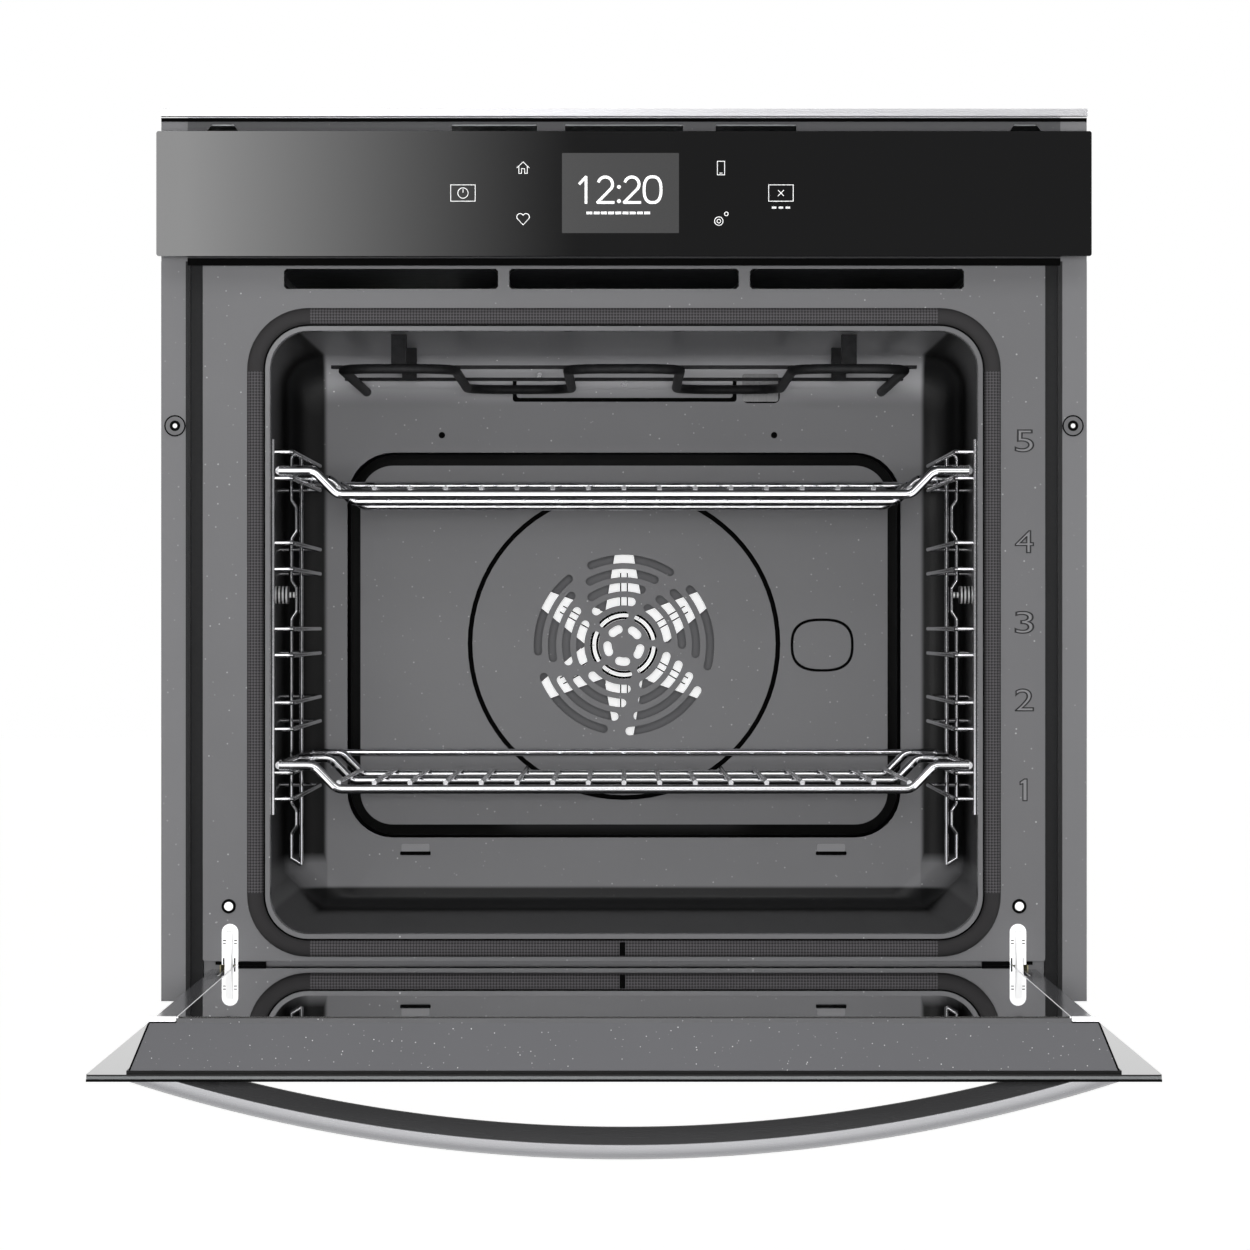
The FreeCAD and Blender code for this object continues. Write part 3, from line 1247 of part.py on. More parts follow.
# ---- check every object, then write the pieces ---------------------------------------------------
doc.recompute()
faults = [item.Label for item in doc.Objects if "Invalid" in item.State or "Error" in item.State]
for piece in nodes:
    if piece.Shape.isNull() or not piece.Shape.isValid():
        faults.append(piece.Label + " shape")
if faults:
    raise ValueError("these objects failed: " + ", ".join(faults))
for piece in nodes:
    piece.Shape.exportStep(f"parts/{piece.Label}.step")
print(len(nodes), "pieces")
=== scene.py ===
import math

import bmesh
import bpy
from mathutils import Matrix, Vector


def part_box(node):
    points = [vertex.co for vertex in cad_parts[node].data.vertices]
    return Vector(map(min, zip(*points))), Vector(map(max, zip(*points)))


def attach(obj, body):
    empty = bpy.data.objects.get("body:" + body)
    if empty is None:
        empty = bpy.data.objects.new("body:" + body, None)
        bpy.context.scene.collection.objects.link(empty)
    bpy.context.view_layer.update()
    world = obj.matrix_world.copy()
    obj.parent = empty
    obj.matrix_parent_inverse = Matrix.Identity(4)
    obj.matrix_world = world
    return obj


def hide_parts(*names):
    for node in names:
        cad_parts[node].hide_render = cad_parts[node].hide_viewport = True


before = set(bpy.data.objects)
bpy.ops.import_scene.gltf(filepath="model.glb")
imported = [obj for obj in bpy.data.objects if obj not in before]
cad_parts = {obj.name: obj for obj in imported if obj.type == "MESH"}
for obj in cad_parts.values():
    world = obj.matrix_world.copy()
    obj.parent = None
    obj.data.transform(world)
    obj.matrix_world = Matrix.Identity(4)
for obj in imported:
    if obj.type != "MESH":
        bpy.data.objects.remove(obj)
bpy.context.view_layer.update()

# ---- room ---------------------------------------------------------------------------------------
# A pale painted floor well below the oven, because a wall oven is built in at working height.
# A wide white room lights it softly, and a long lens looks straight at the cabinet's front.
MM = 0.001
FLOOR_DROP = 450
FLOOR_HALF = 30000
LENS_HEIGHT = 262
LENS_DISTANCE = 3352
FOCAL_LENGTH = 149.8
CARD_LEFT, CARD_RIGHT, CARD_LOW, CARD_HIGH, CARD_Y = -1000, 60, 560, 1100, -3600
FIRST_COLOUR, SECOND_COLOUR, MIXED_COLOUR = 6, 7, 2
scene = bpy.context.scene
scene.view_settings.view_transform = "Standard"


def linear(code):
    """An sRGB hex value such as 8a8a8c as linear red, green, blue and alpha."""
    parts = [int(code[place:place + 2], 16) / 255 for place in (0, 2, 4)]
    parts = [part / 12.92 if part <= 0.04045 else ((part + 0.055) / 1.055) ** 2.4 for part in parts]
    return (*parts, 1.0)


def add(tree, kind, links=None, **settings):
    """Add a node; a link's value is another node's socket or the input's own value."""
    made = tree.nodes.new(kind)
    for name, value in settings.items():
        setattr(made, name, value)
    for name, value in (links or {}).items():
        if isinstance(value, bpy.types.NodeSocket):
            tree.links.new(value, made.inputs[name])
        else:
            made.inputs[name].default_value = value
    return made


def start(name, code, roughness, metallic=0.0):
    """A new material with its main shader, and the object's own coordinates in metres."""
    material = bpy.data.materials.new(name)
    material.use_nodes = True
    tree = material.node_tree
    shader = tree.nodes["Principled BSDF"]
    shader.inputs["Base Color"].default_value = linear(code)
    shader.inputs["Roughness"].default_value = roughness
    shader.inputs["Metallic"].default_value = metallic
    place = add(tree, "ShaderNodeTexCoord").outputs["Object"]
    return material, tree, shader, place


def mixed(tree, share, first, second, blend="MIX"):
    """The colour between two, each a hex value or another node's socket."""
    first, second = [linear(colour) if isinstance(colour, str) else colour for colour in (first, second)]
    made = add(tree, "ShaderNodeMix", {0: share, FIRST_COLOUR: first, SECOND_COLOUR: second},
               data_type="RGBA", blend_type=blend)
    return made.outputs[MIXED_COLOUR]


def new_piece(name, corners, faces, material, bend=35):
    """A mesh piece in metres from corners in millimetres, smooth up to the given bend."""
    mesh = bpy.data.meshes.new(name)
    mesh.from_pydata([Vector(corner) * MM for corner in corners], [], faces)
    work = bmesh.new()
    work.from_mesh(mesh)
    bmesh.ops.recalc_face_normals(work, faces=work.faces)
    work.to_mesh(mesh)
    work.free()
    mesh.materials.append(material)
    mesh.shade_smooth()
    mesh.set_sharp_from_angle(angle=math.radians(bend))
    piece = bpy.data.objects.new(name, mesh)
    scene.collection.objects.link(piece)
    return piece


floor_paint, tree, shader, place = start("matt_floor_paint", "f2f2f0", 0.9)
grain = add(tree, "ShaderNodeTexNoise", {"Vector": place, "Scale": 40, "Detail": 3})
tone = add(tree, "ShaderNodeMapRange", {"Value": grain.outputs["Fac"], "To Min": 0.97, "To Max": 1.0})
tree.links.new(mixed(tree, tone.outputs[0], "d8d8d8", "f4f4f2"), shader.inputs["Base Color"])
shader.inputs["Emission Color"].default_value = linear("ffffff")
shader.inputs["Emission Strength"].default_value = 0.75
floor_corners = [(x * FLOOR_HALF, y * FLOOR_HALF, -FLOOR_DROP)
                 for x, y in ((-1, -1), (1, -1), (1, 1), (-1, 1))]
floor = new_piece("floor", floor_corners, [(0, 1, 2, 3)], floor_paint)
floor.visible_diffuse = False

room = bpy.data.worlds.new("white_room")
scene.world = room
room.use_nodes = True
tree = room.node_tree
tree.nodes.clear()
direction = add(tree, "ShaderNodeTexCoord").outputs["Generated"]
axes = add(tree, "ShaderNodeSeparateXYZ", {"Vector": direction})
behind = add(tree, "ShaderNodeMapRange", {"Value": axes.outputs["Y"], "From Min": -0.3, "From Max": 0.6,
                                          "To Min": 0.3, "To Max": 1.0})
rays = add(tree, "ShaderNodeLightPath")
fill = add(tree, "ShaderNodeMapRange", {"Value": rays.outputs["Is Diffuse Ray"], "To Min": 1.0,
                                        "To Max": 0.35})
dimmed = add(tree, "ShaderNodeMath", {0: behind.outputs[0], 1: fill.outputs[0]}, operation="MULTIPLY")
strength = add(tree, "ShaderNodeMath", {0: dimmed.outputs[0], 1: rays.outputs["Is Camera Ray"]},
               operation="MAXIMUM")
glow = add(tree, "ShaderNodeBackground", {"Color": linear("ffffff"), "Strength": strength.outputs[0]})
add(tree, "ShaderNodeOutputWorld", {"Surface": glow.outputs[0]})

lens = bpy.data.cameras.new("long_lens")
lens.lens = FOCAL_LENGTH
lens.sensor_width = 36
lens.shift_x = 0.0008
lens.shift_y = 0.0016
lens.clip_end = 100
camera = bpy.data.objects.new("long_lens", lens)
camera.location = Vector((0, -LENS_DISTANCE, LENS_HEIGHT)) * MM
camera.rotation_euler = (math.pi / 2, 0, 0)
scene.collection.objects.link(camera)
scene.camera = camera


def soft_light(name, wide, high, position, aim, power, mirrored):
    """A soft box; mirrored says whether it shows in polished metal and glass."""
    light = bpy.data.lights.new(name, "AREA")
    light.shape = "RECTANGLE"
    light.size, light.size_y = wide, high
    light.energy = power
    lamp = bpy.data.objects.new(name, light)
    lamp.location = position
    lamp.rotation_euler = (Vector(aim) - Vector(position)).to_track_quat("-Z", "Y").to_euler()
    lamp.visible_glossy = mirrored
    scene.collection.objects.link(lamp)


soft_light("front_fill", 0.45, 0.45, (0, -3.4, 0.3), (0, 0, 0.27), 84, False)
soft_light("upper_softbox", 2.4, 0.9, (0, -2.9, 1.75), (0, 0, 0.3), 18, True)

card_light, tree, shader, place = start("reflector_card", "000000", 1.0)
axes = add(tree, "ShaderNodeSeparateXYZ", {"Vector": place})
fade = add(tree, "ShaderNodeMapRange", {"Value": axes.outputs["X"], "From Min": -0.58, "From Max": 0.03,
                                        "To Min": 1.0, "To Max": 0.0})
curve = add(tree, "ShaderNodeMath", {0: fade.outputs[0], 1: 1.7}, operation="POWER")
bright = add(tree, "ShaderNodeMath", {0: curve.outputs[0], 1: 7.0}, operation="MULTIPLY")
level = add(tree, "ShaderNodeMath", {0: bright.outputs[0], 1: 0.3}, operation="MAXIMUM")
shader.inputs["Emission Color"].default_value = linear("ffffff")
tree.links.new(level.outputs[0], shader.inputs["Emission Strength"])
card = new_piece("reflector_card", [(CARD_LEFT, CARD_Y, CARD_LOW), (CARD_RIGHT, CARD_Y, CARD_LOW),
                                    (CARD_RIGHT, CARD_Y, CARD_HIGH), (CARD_LEFT, CARD_Y, CARD_HIGH)],
                 [(0, 1, 2, 3)], card_light)
card.visible_camera = False
card.visible_diffuse = False
card.visible_shadow = False
card.visible_transmission = False

# ---- enamelled oven cavity ----------------------------------------------------------------------
# Deep-drawn sheet steel with fired vitreous enamel: a dark grey ground with fine white specks.
# Floor, walls and ceiling run into each other and into the back with drawn, rounded corners.
SPECK_SPACING = 6.5
ORANGE_PEEL = 2.2


def relief(tree, shader, height, strength, distance):
    """Fine relief on a surface from a height between 0 and 1; the distance is in metres."""
    bump = add(tree, "ShaderNodeBump", {"Height": height, "Strength": strength, "Distance": distance})
    tree.links.new(bump.outputs["Normal"], shader.inputs["Normal"])


def speckled_enamel(name, ground, speck="bdbdbd", roughness=0.34, spacing=SPECK_SPACING, specular=0.5):
    """Fired enamel: glassy, slightly wavy, with white specks a millimetre or so across."""
    material, tree, shader, place = start(name, ground, roughness)
    shader.inputs["Specular IOR Level"].default_value = specular
    cells = add(tree, "ShaderNodeTexVoronoi", {"Vector": place, "Scale": 1 / (spacing * MM)})
    spots = add(tree, "ShaderNodeMapRange", {"Value": cells.outputs["Distance"], "From Min": 0.05,
                                             "From Max": 0.11, "To Min": 1.0, "To Max": 0.0})
    random_share = add(tree, "ShaderNodeSeparateColor", {"Color": cells.outputs["Color"]})
    faint = add(tree, "ShaderNodeMath", {0: spots.outputs[0], 1: random_share.outputs[0]},
                operation="MULTIPLY")
    cloud = add(tree, "ShaderNodeTexNoise", {"Vector": place, "Scale": 9, "Detail": 3})
    shade = add(tree, "ShaderNodeMapRange", {"Value": cloud.outputs["Fac"], "To Min": 0.92, "To Max": 1.08})
    ground_tone = mixed(tree, 1.0, ground, shade.outputs[0], "MULTIPLY")
    tree.links.new(mixed(tree, faint.outputs[0], ground_tone, speck), shader.inputs["Base Color"])
    waves = add(tree, "ShaderNodeTexNoise", {"Vector": place, "Scale": 1 / (ORANGE_PEEL * MM), "Detail": 2})
    relief(tree, shader, waves.outputs["Fac"], 0.12, 0.0004)
    return material


def rounded_loop(half, low, high, radius, y, bevelled=False, steps=8):
    """Corners of an upright rounded rectangle at depth y; its lower corners may be bevelled."""
    loop = []
    for side, centre_z, first in ((1, low + radius, 270), (1, high - radius, 0), (-1, high - radius, 90),
                                  (-1, low + radius, 180)):
        centre_x = side * (half - radius)
        turns = [math.radians(first + 90 * step / steps) for step in range(steps + 1)]
        curve = [Vector((centre_x + radius * math.cos(turn), y, centre_z + radius * math.sin(turn)))
                 for turn in turns]
        if bevelled and centre_z < (low + high) / 2:
            curve = [curve[0].lerp(curve[-1], step / steps) for step in range(steps + 1)]
        loop += curve
    return loop


def skin(loops, wrapped=False, capped=False):
    """Corners and faces of a skin over loops of equal length."""
    count = len(loops[0])
    corners = [corner for loop in loops for corner in loop]
    faces = []
    for number in range(len(loops) if wrapped else len(loops) - 1):
        here, there = number * count, (number + 1) % len(loops) * count
        for place in range(count):
            after = (place + 1) % count
            faces.append((here + place, here + after, there + after, there + place))
    if capped:
        faces.append(tuple(range(count)))
        faces.append(tuple(range((len(loops) - 1) * count, len(loops) * count)))
    return corners, faces


def paint_light_and_shade(material, place_rules, low_corner=0.0):
    """Paint shade and light into an enamel's colour by its place: (axis, from, to, share) in metres; a share
    below 1 is painted shade, above 1 painted light, and a low corner may be spared.
    """
    tree = material.node_tree
    shader = tree.nodes["Principled BSDF"]
    before = shader.inputs["Base Color"].links[0].from_socket
    place = add(tree, "ShaderNodeTexCoord").outputs["Object"]
    axes = add(tree, "ShaderNodeSeparateXYZ", {"Vector": place})
    for axis, first, last, painted_share in place_rules:
        distance = axes.outputs[axis]
        if axis == "X":
            distance = add(tree, "ShaderNodeMath", {0: distance}, operation="ABSOLUTE").outputs[0]
        dark = add(tree, "ShaderNodeMapRange", {"Value": distance, "From Min": first, "From Max": last,
                                                "To Min": 1.0, "To Max": painted_share},
                   interpolation_type="SMOOTHSTEP").outputs[0]
        if axis == "X" and low_corner:
            spared = add(tree, "ShaderNodeMapRange", {"Value": axes.outputs["Z"], "From Min": low_corner,
                                                      "From Max": low_corner - 0.008, "To Max": 0.75})
            lighter = add(tree, "ShaderNodeMath", {0: dark, 1: spared.outputs[0]}, operation="MAXIMUM")
            dark = lighter.outputs[0]
        before = mixed(tree, 1.0, before, dark, "MULTIPLY")
    tree.links.new(before, shader.inputs["Base Color"])


def corners_of(node):
    """A CAD node's lowest and highest corners at rest, in millimetres."""
    return [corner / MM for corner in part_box(node)]


def joined(parts):
    """Several sets of corners and faces as one."""
    corners, faces = [], []
    for more_corners, more_faces in parts:
        shift = len(corners)
        corners += more_corners
        faces += [tuple(place + shift for place in face) for face in more_faces]
    return corners, faces


def fitted(name, parts, material, body="oven", bend=35):
    """One piece of several parts with its material, fixed to a body."""
    piece = new_piece(name, *joined(parts), material, bend)
    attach(piece, body)
    return piece


cavity_enamel = speckled_enamel("speckled_cavity_enamel", "7b7b7d", specular=0.3)
# Painted shade and light: the side walls beyond 0.2165 m are painted nearly black, the band at the fold and
# the floor below it are painted dark, and the ceiling is painted lighter. Below 0.092 m the side walls are
# spared most of their painted shade.
paint_light_and_shade(cavity_enamel, (("X", 0.2125, 0.2165, 0.025), ("Z", 0.0765, 0.0735, 0.06), ("Z", 0.42, 0.441, 2.3)),
       low_corner=0.1)
wall_low, wall_high = corners_of("cavity_side_walls")
back_low, back_high = corners_of("cavity_back_wall")
chamber_low, chamber_high = corners_of("fan_chamber")
LINER_SHEET = 1.2
LINER_ROUND = 26
BACK_ROUND = 24
FLOOR_ROUND = 9
liner_half = wall_high.x - LINER_SHEET
liner_floor = back_low.z + LINER_SHEET
liner_ceiling = back_high.z - LINER_SHEET
OPENING_ROUND = 33
opening = (chamber_high.x - LINER_SHEET, chamber_low.z + LINER_SHEET, chamber_high.z - LINER_SHEET)


def liner_loops(grow):
    """The liner's skin from its mouth to the opening in its back, grown outwards."""
    loops = []
    depths = [(wall_low.y + 0.2, 0)]
    for angle in range(0, 91, 15):
        turn = math.radians(angle)
        depths.append((back_low.y - BACK_ROUND * (1 - math.sin(turn)), BACK_ROUND * (1 - math.cos(turn))))
    for depth, inset in depths:
        floor_inset = inset * FLOOR_ROUND / BACK_ROUND
        loops.append(rounded_loop(liner_half - inset + grow, liner_floor + floor_inset - grow,
                                  liner_ceiling - inset + grow, LINER_ROUND, min(depth + grow, back_high.y),
                                  bevelled=True))
    loops.append(rounded_loop(*opening, OPENING_ROUND, back_low.y + grow))
    return loops


liner_skin = skin(liner_loops(0) + liner_loops(LINER_SHEET)[::-1], wrapped=True)
liner = fitted("cavity_liner", [liner_skin], cavity_enamel, bend=50)
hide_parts("cavity_back_wall", "cavity_side_walls", "cavity_floor", "cavity_ceiling")

# ---- pressings on the cavity's back wall --------------------------------------------------------
# Two hooks for the fan cover, a raised plate that carries the probe and the lamp's small window
# frame are pressed into, or riveted on, the same enamelled sheet.
# Near-black enamel for black parts and print, and also for painted shade in grooves, holes and gaps and
# under ledges.
black_and_painted_shade = speckled_enamel("edge_enamel", "050505", "0a0a0a", 0.6, specular=0.05)
tab_enamel = speckled_enamel("hook_tab_enamel", "8e8e90")
wall_face = back_low.y
HOOK_PLACES = (-150, 149)
HOOK_HALF = 11
HOOK_FOOT, HOOK_STEP, HOOK_TOP = 98, 100.6, 106


def plate(outline, y_front, y_back):
    """Corners and faces of a flat piece with an upright outline of x and z pairs."""
    front = [(x, y_front, z) for x, z in outline]
    back = [(x, y_back, z) for x, z in outline]
    return skin([front, back], capped=True)


def rectangle(left, right, low, high, radius=0.0, steps=4):
    """The outline of a rectangle with rounded corners, as x and z pairs."""
    middle = (left + right) / 2
    loop = rounded_loop((right - left) / 2, low, high, max(radius, 0.01), 0, steps=steps if radius else 1)
    return [(corner.x + middle, corner.z) for corner in loop]


# The ledges under the hook tabs are black: painted shadow beneath the tabs.
hook_shadow_ledges, tabs = [], []
for middle in HOOK_PLACES:
    hook_shadow_ledges.append(plate(rectangle(middle - HOOK_HALF, middle + HOOK_HALF, HOOK_FOOT, HOOK_STEP, 0.8),
                        wall_face - 2.2, wall_face))
    tabs.append(plate(rectangle(middle - HOOK_HALF + 1, middle + HOOK_HALF - 1, HOOK_STEP, HOOK_TOP, 1),
                      wall_face - 1.8, wall_face))
fitted("cover_hook_shadow_ledges", hook_shadow_ledges, black_and_painted_shade)
fitted("cover_hook_tabs", tabs, tab_enamel)


def frame_of(left, right, low, high, wide, y_front, y_back, radius=2.0):
    """A thin picture frame standing on the wall."""
    outer = rectangle(left, right, low, high, radius)
    inner = rectangle(left + wide, right - wide, low + wide, high - wide, radius)
    loops = [[(x, y, z) for x, z in outline] for outline, y in
             ((outer, y_back), (outer, y_front), (inner, y_front), (inner, y_back))]
    return skin(loops, wrapped=True)


# The plate's and the lamp window's pressed edges are drawn as thin black frames: painted shade along the
# pressings.
FRAME_WIDE = 2.8
probe_plate = frame_of(-80, 81, 424, 445, FRAME_WIDE, wall_face - 1, wall_face)
lamp_window = frame_of(85, 112, 423, 446, FRAME_WIDE, wall_face - 1.4, wall_face, 4)
fitted("wall_pressing_shade_lines", [probe_plate, lamp_window], black_and_painted_shade)


def circle(u, v, radius, steps=24):
    """Points round a circle, as pairs."""
    turns = [math.tau * step / steps for step in range(steps)]
    return [(u + radius * math.cos(turn), v + radius * math.sin(turn)) for turn in turns]


def disc(x, z, radius, y_front, y_back):
    """A round plate that faces the front."""
    return plate(circle(x, z, radius), y_front, y_back)


def vary(tree, socket, place, scale, low, high, detail=2):
    """Let a shader's socket wander between two values with fine noise."""
    grain = add(tree, "ShaderNodeTexNoise", {"Vector": place, "Scale": scale, "Detail": detail})
    spread = add(tree, "ShaderNodeMapRange", {"Value": grain.outputs["Fac"], "To Min": low, "To Max": high})
    tree.links.new(spread.outputs[0], socket)


PROBE_HEIGHT = 437
HOLES = ((-131, 400, 2.3), (108, 400, 2.3), (-8, PROBE_HEIGHT, 0.9), (8, PROBE_HEIGHT, 0.9))
steel_rivet, tree, shader, place = start("nickel_plated_steel", "c9c9cc", 0.25, 1.0)
vary(tree, shader.inputs["Roughness"], place, 1 / (0.6 * MM), 0.16, 0.34)
fitted("probe_screw", [disc(0, PROBE_HEIGHT, 2.6, wall_face - 2, wall_face)], steel_rivet)
# The holes are black discs: painted shade inside them.
holes = [disc(x, z, radius, wall_face - 0.3, wall_face) for x, z, radius in HOLES]
fitted("wall_hole_shade", holes, black_and_painted_shade)

# ---- fan cover, wheel and fan chamber -----------------------------------------------------------
# The enamelled cover has a ring of louvres, a large round bead and a small oval one pressed into it.
# Behind it runs a folded aluminium wheel, in a chamber drawn from the same enamelled sheet.
cover_enamel = speckled_enamel("speckled_cover_enamel", "78787a")
chamber_enamel = speckled_enamel("chamber_enamel", "68686a", "808080", specular=0.2)
# Painted shade: the chamber is painted nearly black beyond 0.1 m to each side, below 0.11 m and above 0.362
# m, leaving the middle of its back grey where the louvres show it.
paint_light_and_shade(chamber_enamel, (("X", 0.07, 0.1, 0.01), ("Z", 0.14, 0.11, 0.01), ("Z", 0.35, 0.362, 0.02)))
cover_face = corners_of("fan_cover")[0].y
wheel_face = corners_of("fan_wheel")[0].y
fan_height = (chamber_low.z + chamber_high.z) / 2


def dress(material, *nodes):
    """Give CAD nodes their finished material."""
    for name in nodes:
        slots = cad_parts[name].data.materials
        if not slots:
            slots.append(material)
        for number in range(len(slots)):
            slots[number] = material


dress(cover_enamel, "fan_cover")
dress(chamber_enamel, "fan_chamber")


def bead(centre_x, centre_z, reach_x, reach_z, wide, high, y, steps=72, power=2.0):
    """A low rounded bead along a circle or oval on an upright sheet."""
    loops = []
    for part in range(5):
        turn = math.pi * part / 4
        offset, rise = -wide / 2 * math.cos(turn), high * math.sin(turn)
        loop = []
        for step in range(steps):
            angle = math.tau * step / steps
            cosine, sine = math.cos(angle), math.sin(angle)
            loop.append((centre_x + math.copysign(abs(cosine) ** (2 / power), cosine) * (reach_x + offset),
                         y - rise,
                         centre_z + math.copysign(abs(sine) ** (2 / power), sine) * (reach_z + offset)))
        loops.append(loop)
    return skin(loops, wrapped=True)


ROUND_BEAD, OVAL_BEAD_X = 110.7, 142.5
# The beads are black: painted shade along the pressed beads.
beads = [bead(0, fan_height + 1, ROUND_BEAD, ROUND_BEAD, 3.4, 0.6, cover_face),
         bead(OVAL_BEAD_X, fan_height, 21.7, 18.2, 1.9, 0.5, cover_face, power=2.7)]
fitted("cover_bead_shade_lines", beads, black_and_painted_shade)


def ring(x, z, inner, outer, y_front, y_back, steps=24):
    """A flat ring that faces the front."""
    loops = [[(u, y, v) for u, v in circle(x, z, radius, steps)]
             for radius, y in ((inner, y_front), (outer, y_front), (outer, y_back), (inner, y_back))]
    return skin(loops, wrapped=True)


wheel_metal, tree, shader, place = start("aluminium_with_painted_glow", "f6f6f6", 0.45, 0.15)
vary(tree, shader.inputs["Roughness"], place, 1 / (1.5 * MM), 0.38, 0.52, 3)
# A faint glow: painted light that keeps the wheel's blades white in the chamber.
shader.inputs["Emission Color"].default_value = linear("ffffff")
shader.inputs["Emission Strength"].default_value = 0.3
dress(wheel_metal, "fan_wheel")
HUB_RINGS = ((18.6, 20.2), (22.8, 24.4))
BLADES = 6
CREASE_APART = 2.4
CREASE_FOOT, CREASE_TIP, CREASE_HALF = 27, 52, 0.45
# The hub rings and blade creases are black strips: painted shade in the folds.
creases = [ring(0, fan_height, inner, outer, wheel_face - 0.3, wheel_face - 0.1, 48)
           for inner, outer in HUB_RINGS]
for number in range(BLADES):
    turn = math.tau * number / BLADES + math.pi / 2
    along, side = Vector((math.cos(turn), math.sin(turn))), Vector((-math.sin(turn), math.cos(turn)))
    for offset in (-CREASE_APART, CREASE_APART):
        corners = [along * reach + side * (offset + edge) for reach, edge in
                   ((CREASE_FOOT, -CREASE_HALF), (CREASE_TIP, -CREASE_HALF), (CREASE_TIP, CREASE_HALF),
                    (CREASE_FOOT, CREASE_HALF))]
        creases.append(plate([(corner.x, corner.y + fan_height) for corner in corners],
                             wheel_face - 0.4, wheel_face - 0.1))
fitted("wheel_crease_shade", creases, black_and_painted_shade, "convection_fan")

# ---- heating elements and their brackets --------------------------------------------------------
# Sheathed tube elements: a heating wire packed in oxide powder inside a bent steel tube.
# The first firings have turned the tubes and their clamped brackets dark and matt.


def mottle(tree, shader, place, scale, first, second, detail=3):
    """Let a surface's colour wander between two tones with noise, and return the noise's height."""
    cloud = add(tree, "ShaderNodeTexNoise", {"Vector": place, "Scale": scale, "Detail": detail})
    tree.links.new(mixed(tree, cloud.outputs["Fac"], first, second), shader.inputs["Base Color"])
    return cloud.outputs["Fac"]


element_sheath, tree, shader, place = start("oxidised_element_sheath", "1c1c1d", 0.55, 0.6)
mottle(tree, shader, place, 1 / (5 * MM), "121213", "343436", 4)
dress(element_sheath, "ring_element", "bake_element", "broil_element", "element_brackets")

# ---- galvanised casing and inner sheet parts ----------------------------------------------------
# Hot-dip galvanised sheet: cool grey zinc with faint crystal fields six or seven millimetres across.
# Stamped ribs stiffen each panel; folded seams, spot welds and hexagon-headed screws join them.
SPANGLE = 6.5
zinc_sheet, tree, shader, place = start("galvanised_sheet", "a4a6a9", 0.42, 0.85)
fields = add(tree, "ShaderNodeTexVoronoi", {"Vector": place, "Scale": 1 / (SPANGLE * MM)})
field_tone = add(tree, "ShaderNodeSeparateColor", {"Color": fields.outputs["Color"]})
crystal = mixed(tree, field_tone.outputs[0], "a0a2a5", "aeb0b3")
tree.links.new(crystal, shader.inputs["Base Color"])
gloss = add(tree, "ShaderNodeMapRange", {"Value": field_tone.outputs[1], "To Min": 0.37, "To Max": 0.43})
tree.links.new(gloss.outputs[0], shader.inputs["Roughness"])
dress(zinc_sheet, "base_pan", "side_panels", "rear_panel", "top_panel", "fan_motor", "blower_housing",
      "blower_motor", "air_duct", "lamp_housing", "hinge_receivers", "hinge_channels")
SIDE_FACE = corners_of("side_panels")[1].x
REAR_FACE = corners_of("rear_panel")[1].y
TOP_FACE = corners_of("top_panel")[1].z
faces_of_casing = {
    "left": lambda u, v, rise: (-SIDE_FACE - rise, u, v),
    "right": lambda u, v, rise: (SIDE_FACE + rise, u, v),
    "rear": lambda u, v, rise: (u, REAR_FACE + rise, v),
    "top": lambda u, v, rise: (u, v, TOP_FACE + rise),
}


def pressed(left, right, low, high, rise, place, radius=12, slope=3.0):
    """A stiffening panel or rib pressed outwards, with rounded corners and sloping sides."""
    loops = []
    for inset, height in ((0, -0.1), (slope * 0.35, rise * 0.3), (slope * 0.75, rise * 0.85), (slope, rise)):
        outline = rectangle(left + inset, right - inset, low + inset, high - inset,
                            max(radius - inset, 0.5), 6)
        loops.append([place(u, v, height) for u, v in outline])
    return skin(loops, capped=True)


def hex_screw(u, v, place):
    """A sheet-metal screw: a flanged washer under a six-sided head."""
    solids = []
    for radius, low, high, sides in ((5.4, -0.1, 1.0, 24), (3.9, 1.0, 4.2, 6)):
        loops = [[place(*spot, rise) for spot in circle(u, v, radius, sides)] for rise in (low, high)]
        solids.append(skin(loops, capped=True))
    return joined(solids)


def weld_marks(spots, place):
    """Shallow round dimples that spot welding leaves in the sheet."""
    marks = []
    for u, v in spots:
        loops = [[place(*spot, rise) for spot in circle(u, v, radius, 16)]
                 for radius, rise in ((2.6, -0.1), (2.4, 0.25), (1.5, 0.3), (1.2, 0.1))]
        marks.append(skin(loops, capped=True))
    return marks


